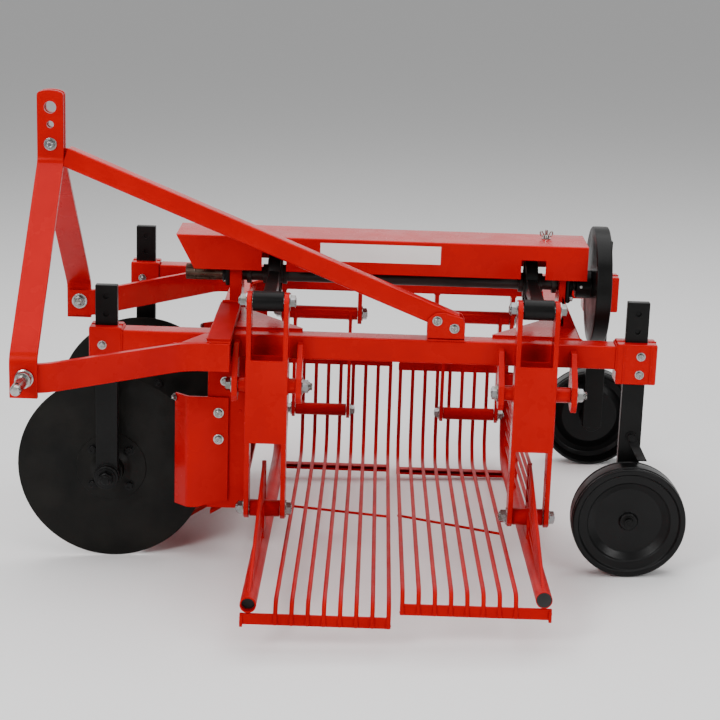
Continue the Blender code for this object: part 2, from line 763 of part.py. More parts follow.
def sieve(name, base, side, cross_rod):
    """Floor and far wall of bent rods on a side tube, with a fence and two brackets."""

    def tilt(y, z):
        return z - side * SIEVE_TWIST * (SIEVE_TWIST_Y - y)

    def line(x, profile):
        return [(x, y, tilt(y, z)) for y, z in profile]

    rod_profile = [
        (-0.456, -0.386),
        (-0.420, FLOOR_MOUTH_Z),
        (LINK_Y - 0.044, FLOOR_WALL_Z + 0.001),
        (LINK_Y - 0.014, FLOOR_WALL_Z + 0.004),
        (LINK_Y + 0.028, -0.385),
        (LINK_Y + 0.042, -0.200),
    ]
    tube_profile = [
        (MOUTH_Y, -0.350),
        (LINK_Y - 0.094, -0.4160),
        (LINK_Y - 0.044, -0.411),
        (LINK_Y + 0.002, -0.388),
        (LINK_Y + 0.031, -0.345),
        (LINK_Y + 0.043, -0.205),
    ]
    body = sweep(line(base, tube_profile), SIDE_TUBE_RADIUS)
    pieces = []
    for index in range(SIEVE_RODS):
        x = base + side * (ROD_FIRST_U + ROD_PITCH * index)
        pieces.append(sweep(line(x, rod_profile), ROD_RADIUS))
    end = base + side * SIEVE_BAR_END_U
    outer = base - side * 0.016
    x0, x1 = sorted((outer, end))
    z = tilt(-0.45, -0.378)
    pieces.append(block(x0, x1, -0.4545, -0.4485, z - 0.012, z + 0.010))
    x0, x1 = sorted((base, end))
    z = tilt(LINK_Y - 0.084, -0.4275)
    pieces.append(block(x0, x1, LINK_Y - 0.096, LINK_Y - 0.072, z - 0.003, z + 0.004))
    z = tilt(LINK_Y + 0.042, -0.195)
    pieces.append(block(x0, x1, LINK_Y + 0.0395, LINK_Y + 0.0455, z - 0.011, z + 0.011))
    (ya, yb) = cross_rod
    drop = 0.006
    floor_slope = CROSS_ROD_FALL / (LINK_Y - 0.044 + 0.42)
    za = tilt(ya, FLOOR_MOUTH_Z - (ya + 0.42) * floor_slope) - drop
    zb = tilt(yb, FLOOR_MOUTH_Z - (yb + 0.42) * floor_slope) - drop
    first = base + side * (ROD_FIRST_U - 0.004)
    last = base + side * (ROD_FIRST_U + ROD_PITCH * (SIEVE_RODS - 1) + 0.004)
    pieces.append(sweep([(first, ya, za), (last, yb, zb)], 0.003))
    tube_slope = (-0.4160 + 0.350) / (LINK_Y - 0.094 - MOUTH_Y)
    for rise, reach in zip(FENCE_RISES, FENCE_REACHES):
        zn = -0.350 + (-0.440 - MOUTH_Y) * tube_slope + 0.008
        z0 = -0.350 + (0.0 - MOUTH_Y) * tube_slope + rise
        track = [(-0.440, zn), (0.0, z0)]
        if side < 0:
            far_y = LINK_Y + reach
            track.append((far_y, -0.350 + (far_y - MOUTH_Y) * tube_slope + rise))
        pieces.append(sweep(line(base, track), FENCE_RADIUS))
    zp = -0.350 + (0.0 - MOUTH_Y) * tube_slope
    pieces.append(sweep(line(base, [(0.0, zp), (0.0, zp + FENCE_RISES[-1] + 0.002)]), 0.005))
    if side < 0:
        zq = -0.350 + (0.36 - MOUTH_Y) * tube_slope
        pieces.append(sweep(line(base, [(0.36, zq), (0.36, zq + FENCE_RISES[-1] + 0.002)]), 0.005))
    floor_z = tilt(ROCKER_Y, -0.350 + (ROCKER_Y - MOUTH_Y) * tube_slope)
    outline = [
        (ROCKER_Y + 0.026, ROCKER_FOOT_Z - 0.010),
        (ROCKER_Y + 0.012, ROCKER_FOOT_Z + 0.018),
        (ROCKER_Y - 0.012, ROCKER_FOOT_Z + 0.018),
        (ROCKER_Y - 0.026, ROCKER_FOOT_Z - 0.010),
        (ROCKER_Y - 0.040, floor_z),
        (ROCKER_Y + 0.040, floor_z),
    ]
    pieces.append(prism(outline, "X", base - 0.006, base + 0.006))
    tube_ends = (base + side * (LINK_OUTER_U + LINK_PLATE + 0.001), base + side * (LINK_INNER_U - 0.001))
    pieces.append(drum((tube_ends[0], LINK_Y, LINK_FOOT_Z), (tube_ends[1], LINK_Y, LINK_FOOT_Z), 0.015, 24))
    pin_ends = (base + side * (LINK_OUTER_U - 0.009), base + side * (LINK_INNER_U + LINK_PLATE + 0.010))
    pieces.append(drum((pin_ends[0], LINK_Y, LINK_FOOT_Z), (pin_ends[1], LINK_Y, LINK_FOOT_Z), BOLT_RADIUS, 16))
    for index in (0, 3):
        x = base + side * (ROD_FIRST_U + ROD_PITCH * index)
        pieces.append(block(x - 0.004, x + 0.004, LINK_Y, LINK_Y + 0.0346, LINK_FOOT_Z - 0.012, LINK_FOOT_Z + 0.012))
    pivot_x = ROCKER_LEFT_X if side > 0 else ROCKER_RIGHT_X
    half = ROCKER_HALF_WIDTH - ROCKER_PLATE - FOOT_SLEEVE_PLAY
    ends = ((pivot_x - half, ROCKER_Y, ROCKER_FOOT_Z), (pivot_x + half, ROCKER_Y, ROCKER_FOOT_Z))
    pieces.append(drum(*ends, FOOT_SLEEVE_RADIUS, 24))
    body = union(body, *pieces)
    x = base
    hole = drum((x - 0.04, ROCKER_Y, ROCKER_FOOT_Z), (x + 0.04, ROCKER_Y, ROCKER_FOOT_Z), BOLT_RADIUS + BOLT_PLAY, 16)
    return finish(cut(body, hole), name, RED, (pivot_x, ROCKER_Y, ROCKER_FOOT_Z))


sieve("left_sieve", SIEVE_LEFT_X, 1.0, (0.230, 0.170))
sieve("right_sieve", SIEVE_RIGHT_X, -1.0, (0.020, 0.150))

# ---- discs, wheels, stems and clamps ----
DISC_PROFILE = [
    (0.0, 0.003),
    (0.188, 0.003),
    (DISC_RADIUS, 0.0005),
    (DISC_RADIUS, -0.0005),
    (0.188, -0.002),
    (0.072, -0.002),
    (0.070, -0.008),
    (0.034, -0.010),
    (0.030, -0.014),
    (0.030, -0.044),
    (0.013, -0.044),
    (0.013, -0.004),
    (0.0, -0.004),
]
WHEEL_PROFILE = [
    (0.0108, -0.020),
    (0.018, -0.020),
    (0.019, -0.012),
    (0.070, -0.012),
    (0.088, -0.022),
    (0.104, -0.024),
    (0.109, -0.031),
    (0.116, -0.031),
    (WHEEL_RADIUS, -0.027),
    (WHEEL_RADIUS, 0.027),
    (0.116, 0.031),
    (0.112, 0.031),
    (0.110, -0.010),
    (0.100, -0.016),
    (0.086, -0.014),
    (0.068, -0.005),
    (0.024, -0.005),
    (0.022, 0.018),
    (0.0108, 0.018),
]

for name, y, flip in (("near_disc", DISC_Y, False), ("far_disc", far(DISC_Y), True)):
    disc = lathe(DISC_PROFILE, 40, (DISC_X, y, DISC_Z), flip)
    finish(disc, name, BLACK, (DISC_X, y, DISC_Z), rough=0.4, metal=0.3)

for name, y, flip in (("near_wheel", WHEEL_Y, False), ("far_wheel", far(WHEEL_Y), True)):
    wheel = lathe(WHEEL_PROFILE, 36, (WHEEL_X, y, WHEEL_Z), flip)
    finish(wheel, name, BLACK, (WHEEL_X, y, WHEEL_Z))


def side_block(is_far, x0, x1, y0, y1, z0, z1):
    """Box given in near-side terms, mirrored for the far side."""
    if is_far:
        y0, y1 = far(y1), far(y0)
    return block(x0, x1, y0, y1, z0, z1)


def side_drum(is_far, x, y0, y1, z, radius, steps=24):
    """Cylinder along y given in near-side terms."""
    if is_far:
        y0, y1 = far(y0), far(y1)
    return drum((x, y0, z), (x, y1, z), radius, steps)


def stem(name, is_far, x, low_z, extras):
    """Flat upright held by a clamp, with the stub axle at its foot."""
    half = STEM_WIDTH / 2.0
    y0 = STEM_Y - STEM_THICK / 2.0
    y1 = STEM_Y + STEM_THICK / 2.0
    body = side_block(is_far, x - half, x + half, y0, y1, low_z, STEM_TOP_Z)
    body = union(body, *extras)
    holes = []
    for z in (0.118, 0.080):
        holes.append(side_drum(is_far, x, y0 - 0.01, y1 + 0.01, z, 0.0065, 16))
    return finish(cut(body, *holes), name, BLACK, rough=0.4)


def clamp(name, is_far, x, reach):
    """Box socket at a beam end that the stem slides through."""
    body = side_block(is_far, x - reach, x + reach, -0.004, 0.054, CLAMP_LOW_Z, CLAMP_HIGH_Z)
    half = STEM_WIDTH / 2.0 + FIT
    y0 = STEM_Y - STEM_THICK / 2.0 - FIT
    y1 = STEM_Y + STEM_THICK / 2.0 + FIT
    slot = side_block(is_far, x - half, x + half, y0, y1, -0.1, 0.2)
    return finish(cut(body, slot), name, RED)


def scraper(is_far):
    """Small bent blade on the wheel stem, just clear of the tread."""
    points = []
    z_top = WHEEL_Z + WHEEL_RADIUS + 0.046
    for y, z in ((STEM_Y - 0.008, z_top), (STEM_Y - 0.020, z_top), (STEM_Y - 0.020, z_top - 0.026)):
        points += [(WHEEL_X + 0.002, y, z), (WHEEL_X + 0.020, y, z)]
    for y, z in ((STEM_Y - 0.008, z_top - 0.026),):
        points += [(WHEEL_X + 0.002, y, z), (WHEEL_X + 0.020, y, z)]
    blade = [(x, far(y) if is_far else y, z) for x, y, z in points]
    return hull(blade)


for prefix, is_far in (("near", False), ("far", True)):
    disc_extras = [
        side_drum(is_far, DISC_X, 0.004, 0.036, DISC_Z, 0.026),
        side_drum(is_far, DISC_X, 0.030, DISC_Y - 0.0052, DISC_Z, 0.012),
        side_drum(is_far, DISC_X, 0.030, DISC_Y - 0.0452, DISC_Z, 0.020),
    ]
    stem(prefix + "_disc_stem", is_far, DISC_X, DISC_Z - 0.002, disc_extras)
    wheel_extras = [
        side_drum(is_far, WHEEL_X, 0.034, 0.014, WHEEL_Z, 0.023),
        side_drum(is_far, WHEEL_X, 0.020, WHEEL_Y + 0.019, WHEEL_Z, 0.016),
        side_drum(is_far, WHEEL_X, 0.020, WHEEL_Y - 0.030, WHEEL_Z, 0.010),
        scraper(is_far),
    ]
    stem(prefix + "_wheel_stem", is_far, WHEEL_X, WHEEL_Z - 0.012, wheel_extras)
    clamp(prefix + "_disc_clamp", is_far, DISC_X, DISC_CLAMP_HALF)
    clamp(prefix + "_wheel_clamp", is_far, WHEEL_X, WHEEL_CLAMP_HALF)

# ---- share, its legs and the guards ----
for prefix, is_far in (("near", False), ("far", True)):
    y0 = SHARE_LEG_Y - SHARE_LEG_THICK / 2.0
    y1 = SHARE_LEG_Y + SHARE_LEG_THICK / 2.0
    leg = side_block(is_far, SHARE_LEG_X0, SHARE_LEG_X1, y0, y1, SHARE_LEG_FOOT_Z, -FIT)
    finish(leg, prefix + "_share_leg", RED)
    face = y0 - FIT
    front = face - GUARD_THICK
    outline = [
        (0.525, face),
        (0.440, face),
        (0.410, face + 0.026),
        (0.410, face + 0.026 - GUARD_THICK),
        (0.438, front),
        (0.525, front),
    ]
    if is_far:
        outline = [(x, far(y)) for x, y in outline]
    sheet = prism(outline, "Z", -0.338, -0.096)
    bite = hull(
        [
            (x, y, z)
            for y in (-0.1, 0.9)
            for x, z in ((0.440, -0.342), (0.530, -0.318), (0.530, -0.400), (0.440, -0.400))
        ]
    )
    finish(cut(sheet, bite), prefix + "_guard", RED)


def share_blade():
    """Sloping blade between the legs; its fore part is narrow enough to pass between the discs."""
    slope = (SHARE_REAR_Z - SHARE_FRONT_Z) / (SHARE_REAR_X - SHARE_FRONT_X)
    wing_x = 0.486

    def slab(x0, x1, y0, y1, tip=0.0):
        z0 = SHARE_FRONT_Z + (x0 - SHARE_FRONT_X) * slope
        z1 = SHARE_FRONT_Z + (x1 - SHARE_FRONT_X) * slope
        points = []
        for y in (y0, y1):
            points += [(x0, y, z0), (x0, y, z0 + 0.003 + tip), (x1, y, z1), (x1, y, z1 + 0.010)]
            points += [(x0 + 0.03, y, z0 + 0.03 * slope), (x0 + 0.03, y, z0 + 0.03 * slope + 0.010)]
        return hull(points)

    fore = slab(SHARE_FRONT_X, SHARE_REAR_X, SHARE_INNER_Y, far(SHARE_INNER_Y))
    edge_y = SHARE_LEG_Y + SHARE_LEG_THICK / 2.0 + FIT
    wing = slab(wing_x, SHARE_REAR_X - 0.001, edge_y, far(edge_y), 0.007)
    return finish(union(fore, wing), "share_blade", RED)


share_blade()
bpy.context.view_layer.update()
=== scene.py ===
"""Looks of the potato harvester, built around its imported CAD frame.

Every point is given in machine coordinates, as the CAD has them: x rearward, y away from the discharge
side and z up, from the near beam's lower outer edge. STANCE leans and places them in the row frame.
"""
import json
import logging
import math
from dataclasses import dataclass
from enum import Enum
from typing import Callable, Iterable, Optional, Sequence

import bmesh
import bpy
from mathutils import Matrix, Vector


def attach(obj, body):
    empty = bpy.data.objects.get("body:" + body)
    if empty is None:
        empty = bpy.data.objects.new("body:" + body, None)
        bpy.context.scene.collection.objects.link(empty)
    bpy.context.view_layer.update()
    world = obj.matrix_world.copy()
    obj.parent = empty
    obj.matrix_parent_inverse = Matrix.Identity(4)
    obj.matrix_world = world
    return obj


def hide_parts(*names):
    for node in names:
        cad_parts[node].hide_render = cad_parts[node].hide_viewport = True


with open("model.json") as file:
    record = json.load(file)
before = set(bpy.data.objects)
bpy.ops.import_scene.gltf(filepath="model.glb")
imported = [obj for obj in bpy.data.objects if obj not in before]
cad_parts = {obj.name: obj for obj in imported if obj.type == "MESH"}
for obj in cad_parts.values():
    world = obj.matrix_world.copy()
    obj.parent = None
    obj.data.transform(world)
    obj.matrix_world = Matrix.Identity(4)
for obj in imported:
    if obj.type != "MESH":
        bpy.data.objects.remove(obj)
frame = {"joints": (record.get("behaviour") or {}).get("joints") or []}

logging.basicConfig(level=logging.INFO, format="%(message)s")
LOG = logging.getLogger("harvester")

Point = Sequence[float]
SMOOTH_ANGLE = math.radians(50.0)
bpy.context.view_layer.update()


class Body(str, Enum):
    """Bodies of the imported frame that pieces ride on."""

    MAIN = "main_frame"
    SHAFT = "shaft"
    NEAR_DISC = "front_near_disc"
    FAR_DISC = "front_far_disc"
    NEAR_WHEEL = "rear_near_wheel"
    FAR_WHEEL = "rear_far_wheel"
    LEFT_ROCKER = "left_rocker"
    RIGHT_ROCKER = "right_rocker"
    LEFT_SIEVE = "left_sieve_frame"
    RIGHT_SIEVE = "right_sieve_frame"
    LEFT_LINK = "left_link"
    RIGHT_LINK = "right_link"
    LEFT_ROD = "left_rod"
    RIGHT_ROD = "right_rod"


class Slot(str, Enum):
    """Paint slots of the record."""

    RED = "red_paint"
    BLACK = "black_paint"
    WHEEL = "wheel_black"
    ZINC = "zinc_plate"
    STEEL = "bare_steel"


class Axis(str, Enum):
    """Axis that a flat outline is pushed out along."""

    X = "X"
    Y = "Y"
    Z = "Z"


class Side(str, Enum):
    """Names of the two ends and the two sides, as they stand in piece names."""

    LEFT = "left"
    RIGHT = "right"
    NEAR = "near"
    FAR = "far"


@dataclass(frozen=True)
class Layout:
    """Sizes and places shared with the CAD, in metres."""

    beam: float = 0.050
    far_beam_y: float = 0.660
    mid_y: float = 0.355
    beam_front_x: float = 0.3013
    beam_rear_x: float = 1.3307
    pin_x: float = 0.156
    pin_z: float = 0.025
    hitch_near_y: float = -0.304
    hitch_far_y: float = 0.382
    hitch_mid_y: float = 0.039
    cross_front_x: float = 0.488
    cross_rear_x: float = 1.212
    shaft_y: float = 0.200
    shaft_z: float = 0.137
    rocker_y: float = -0.046
    pivot_z: float = -0.045
    top_z: float = 0.133
    foot_z: float = -0.313
    link_y: float = 0.684
    link_top_z: float = -0.060
    link_foot_z: float = -0.306
    disc_x: float = 0.267
    disc_y: float = 0.085
    disc_z: float = -0.276
    disc_radius: float = 0.203
    wheel_x: float = 1.373
    wheel_y: float = -0.030
    wheel_z: float = -0.316
    wheel_radius: float = 0.120
    stem_y: float = 0.025
    stem_top: float = 0.141
    fit: float = 0.0003
    cross_width: float = 0.050
    post_half: float = 0.040
    post_top: float = 0.2277
    left_rocker_x: float = 0.608
    right_rocker_x: float = 1.160
    left_hangers: tuple[float, float] = (0.536, 0.668)
    right_hangers: tuple[float, float] = (1.085, 1.235)
    left_sieve_x: float = 0.603
    right_sieve_x: float = 1.164
    bolt: float = 0.016
    shank_radius: float = 0.0078
    sleeve_radius: float = 0.016

    def far(self, y: float) -> float:
        """Mirror a near-side y.

        Args:
            y: Distance across the machine, on the near side.

        Returns:
            The same place on the far side.
        """
        return 2.0 * self.mid_y - y


L = Layout()


def stance() -> Matrix:
    """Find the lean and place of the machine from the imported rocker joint.

    Returns:
        The matrix from machine coordinates to the row frame.
    """
    joints = {joint["name"]: joint for joint in frame["joints"]}
    lead = joints["left_rocker_swing"]
    axis = Vector(lead["axis"])
    turn = Matrix.Rotation(math.atan2(-axis.z, axis.x), 4, "Y")
    pivot = Vector((L.left_rocker_x, L.rocker_y, L.pivot_z))
    return Matrix.Translation(Vector(lead["pos_m"]) - turn @ pivot) @ turn


STANCE = stance()


# ---------------------------------------------------------------- finishes


@dataclass(frozen=True)
class Coat:
    """One surface finish, with the numbers that drive its shader."""

    name: str
    slot: Slot
    color: tuple[float, float, float]
    second: tuple[float, float, float]
    roughness: float
    spread: float = 0.06
    metallic: float = 0.0
    clear: float = 0.0
    shine: float = 0.30
    tint: tuple[float, float, float] = (1.0, 1.0, 1.0)
    mottle_scale: float = 7.0
    grain: float = 0.05
    grain_scale: float = 420.0
    # This field and the two below set a painted highlight on rounded edges: its colour, its reach and its strength.
    edge: Optional[tuple[float, float, float]] = None
    edge_highlight_width: float = 0.0012
    edge_highlight_amount: float = 0.5

    def material(self) -> bpy.types.Material:
        """Build the node material.

        Returns:
            A new material, or the one built before under this name.
        """
        found = bpy.data.materials.get(self.name)
        if found is not None:
            return found
        made = bpy.data.materials.new(self.name)
        made.use_nodes = True
        tree = made.node_tree
        shader = tree.nodes["Principled BSDF"]
        place = tree.nodes.new("ShaderNodeTexCoord").outputs["Object"]

        def noise(scale: float, detail: float, rough: float = 0.55) -> bpy.types.NodeSocket:
            """Add a noise texture.

            Args:
                scale: Its scale.
                detail: Its octaves.
                rough: Its roughness.

            Returns:
                The socket with its value.
            """
            node = tree.nodes.new("ShaderNodeTexNoise")
            node.inputs["Scale"].default_value = scale
            node.inputs["Detail"].default_value = detail
            node.inputs["Roughness"].default_value = rough
            tree.links.new(place, node.inputs["Vector"])
            return node.outputs["Fac"]

        def remap(value: bpy.types.NodeSocket, low: float, high: float, a: float, b: float) -> bpy.types.NodeSocket:
            """Stretch a value to another range.

            Args:
                value: The socket it comes from.
                low: Result at a.
                high: Result at b.
                a: Start of the range read.
                b: End of the range read.

            Returns:
                The socket with the result.
            """
            node = tree.nodes.new("ShaderNodeMapRange")
            for name, number in (("From Min", a), ("From Max", b), ("To Min", low), ("To Max", high)):
                node.inputs[name].default_value = number
            tree.links.new(value, node.inputs["Value"])
            return node.outputs["Result"]

        def mix(
            amount: bpy.types.NodeSocket, first: object, second: tuple[float, float, float]
        ) -> bpy.types.NodeSocket:
            """Mix two colours.

            Args:
                amount: Share of the second colour.
                first: A colour, or the socket it comes from.
                second: The other colour.

            Returns:
                The socket with the mixed colour.
            """
            node = tree.nodes.new("ShaderNodeMix")
            node.data_type = "RGBA"
            tree.links.new(amount, node.inputs["Factor"])
            if isinstance(first, tuple):
                node.inputs[6].default_value = (*first, 1.0)
            else:
                tree.links.new(first, node.inputs[6])
            node.inputs[7].default_value = (*second, 1.0)
            return node.outputs[2]

        cloud = noise(self.mottle_scale, 5.0)
        tone = mix(remap(cloud, 0.0, 1.0, 0.35, 0.70), self.color, self.second)
        # Painted highlight: where the Bevel normal turns away from the true normal, on rounded edges, the colour is
        # mixed towards the lighter edge colour, broken up by noise.
        if self.edge is not None:
            soft = tree.nodes.new("ShaderNodeBevel")
            soft.samples = 4
            soft.inputs["Radius"].default_value = self.edge_highlight_width
            here = tree.nodes.new("ShaderNodeNewGeometry")
            dot = tree.nodes.new("ShaderNodeVectorMath")
            dot.operation = "DOT_PRODUCT"
            tree.links.new(soft.outputs["Normal"], dot.inputs[0])
            tree.links.new(here.outputs["True Normal"], dot.inputs[1])
            rim = remap(dot.outputs["Value"], self.edge_highlight_amount, 0.0, 0.78, 0.99)
            edge_highlight_mask = tree.nodes.new("ShaderNodeMath")
            edge_highlight_mask.operation = "MULTIPLY"
            tree.links.new(rim, edge_highlight_mask.inputs[0])
            tree.links.new(remap(noise(60.0, 4.0), 0.0, 1.0, 0.42, 0.62), edge_highlight_mask.inputs[1])
            tone = mix(edge_highlight_mask.outputs["Value"], tone, self.edge)
        tree.links.new(tone, shader.inputs["Base Color"])
        shader.inputs["Metallic"].default_value = self.metallic
        low, high = self.roughness - self.spread, self.roughness + self.spread
        rough = remap(noise(self.mottle_scale * 2.3, 4.0), low, high, 0.3, 0.7)
        tree.links.new(rough, shader.inputs["Roughness"])
        shader.inputs["Coat Weight"].default_value = self.clear
        shader.inputs["Coat Roughness"].default_value = 0.06
        shader.inputs["Specular IOR Level"].default_value = self.shine
        shader.inputs["Specular Tint"].default_value = (*self.tint, 1.0)
        bump = tree.nodes.new("ShaderNodeBump")
        bump.inputs["Strength"].default_value = self.grain
        bump.inputs["Distance"].default_value = 0.001
        tree.links.new(noise(self.grain_scale, 3.0), bump.inputs["Height"])
        tree.links.new(bump.outputs["Normal"], shader.inputs["Normal"])
        return made


RED = Coat(
    "look_powder_red",
    Slot.RED,
    (0.50, 0.0006, 0.0038),
    (0.41, 0.0005, 0.0029),
    0.27,
    clear=0.04,
    shine=0.36,
    tint=(1.0, 0.10, 0.07),
    grain=0.08,
    # painted highlight on rounded edges, lighter than the base red
    edge=(0.78, 0.05, 0.03),
    edge_highlight_amount=0.25,
)
ROD_RED = Coat(
    "look_rod_red",
    Slot.RED,
    (0.46, 0.0006, 0.0035),
    (0.32, 0.0005, 0.0025),
    0.40,
    shine=0.16,
    tint=(1.0, 0.10, 0.07),
    grain=0.10,
    # painted highlight on rounded edges, lighter than the base red
    edge=(0.70, 0.05, 0.03),
    edge_highlight_amount=0.2,
)
DEEP_RED = Coat(
    "look_share_red",
    Slot.RED,
    (0.28, 0.0012, 0.0008),
    (0.20, 0.0010, 0.0006),
    0.36,
    clear=0.06,
    tint=(1.0, 0.12, 0.09),
    grain=0.14,
    # painted highlight on rounded edges, lighter than the base red
    edge=(0.55, 0.03, 0.02),
    edge_highlight_amount=0.25,
)
BLACK = Coat(
    "look_satin_black",
    Slot.BLACK,
    (0.0028, 0.0028, 0.0028),
    (0.0050, 0.0048, 0.0045),
    0.36,
    spread=0.08,
    shine=0.16,
    grain=0.22,
    grain_scale=300.0,
    # painted highlight on rounded edges, lighter than the base black
    edge=(0.05, 0.05, 0.05),
)
DISC_BLACK = Coat(
    "look_disc_black",
    Slot.BLACK,
    (0.0030, 0.0030, 0.0026),
    (0.0095, 0.0085, 0.0070),
    0.42,
    spread=0.12,
    shine=0.14,
    mottle_scale=11.0,
    grain=0.30,
    grain_scale=170.0,
    # painted highlight on rounded edges, lighter than the base black
    edge=(0.06, 0.055, 0.05),
)
WHEEL_BLACK = Coat(
    "look_wheel_black",
    Slot.WHEEL,
    (0.0028, 0.0028, 0.0030),
    (0.0050, 0.0050, 0.0050),
    0.34,
    spread=0.07,
    shine=0.18,
    grain=0.15,
    grain_scale=240.0,
    # painted highlight on rounded edges, lighter than the base black
    edge=(0.045, 0.045, 0.045),
)
ZINC = Coat(
    "look_zinc",
    Slot.ZINC,
    (0.46, 0.46, 0.47),
    (0.30, 0.29, 0.25),
    0.25,
    spread=0.10,
    metallic=1.0,
    mottle_scale=60.0,
    grain=0.12,
    grain_scale=900.0,
)
ZINC_HEAD = Coat(
    "look_zinc_head",
    Slot.ZINC,
    (0.27, 0.27, 0.28),
    (0.17, 0.165, 0.145),
    0.21,
    spread=0.08,
    metallic=1.0,
    mottle_scale=60.0,
    grain=0.12,
    grain_scale=900.0,
)
STEEL = Coat(
    "look_oiled_steel",
    Slot.STEEL,
    (0.13, 0.10, 0.075),
    (0.07, 0.045, 0.030),
    0.34,
    spread=0.10,
    metallic=0.9,
    mottle_scale=40.0,
    grain=0.15,
    grain_scale=700.0,
)
SHAFT_BLACK = Coat(
    "look_shaft_black",
    Slot.STEEL,
    (0.020, 0.019, 0.018),
    (0.040, 0.036, 0.033),
    0.40,
    spread=0.1,
    metallic=0.3,
    grain=0.2,
)
PLUG = Coat(
    "look_plug",
    Slot.BLACK,
    (0.012, 0.012, 0.012),
    (0.018, 0.018, 0.018),
    0.5,
    grain=0.2,
)
LABEL = Coat(
    "look_label",
    Slot.RED,
    (0.86, 0.86, 0.84),
    (0.82, 0.82, 0.80),
    0.35,
    clear=0.2,
    grain=0.02,
)


PLATED = (ZINC, ZINC_HEAD)
BLACKED = (BLACK, BLACK)


# ---------------------------------------------------------------- geometry


def fillet(points: Sequence[Point], radius: float, steps: int = 4) -> list[Vector]:
    """Round the inner corners of an open line of points.

    Args:
        points: Corners of the line, in two or three dimensions.
        radius: Length cut back from each corner.
        steps: Pieces in each rounded corner.

    Returns:
        The line with each inner corner replaced by a short curve.
    """
    corners = [Vector(point) for point in points]
    line = [corners[0]]
    for before, here, after in zip(corners, corners[1:], corners[2:]):
        back = before - here
        on = after - here
        reach = min(radius, back.length * 0.45, on.length * 0.45)
        if reach < 1e-6 or back.length < 1e-9 or on.length < 1e-9:
            line.append(here)
            continue
        start = here + back.normalized() * reach
        end = here + on.normalized() * reach
        for step in range(steps + 1):
            t = step / steps
            line.append(start * (1 - t) ** 2 + here * 2 * t * (1 - t) + end * t**2)
    line.append(corners[-1])
    return line


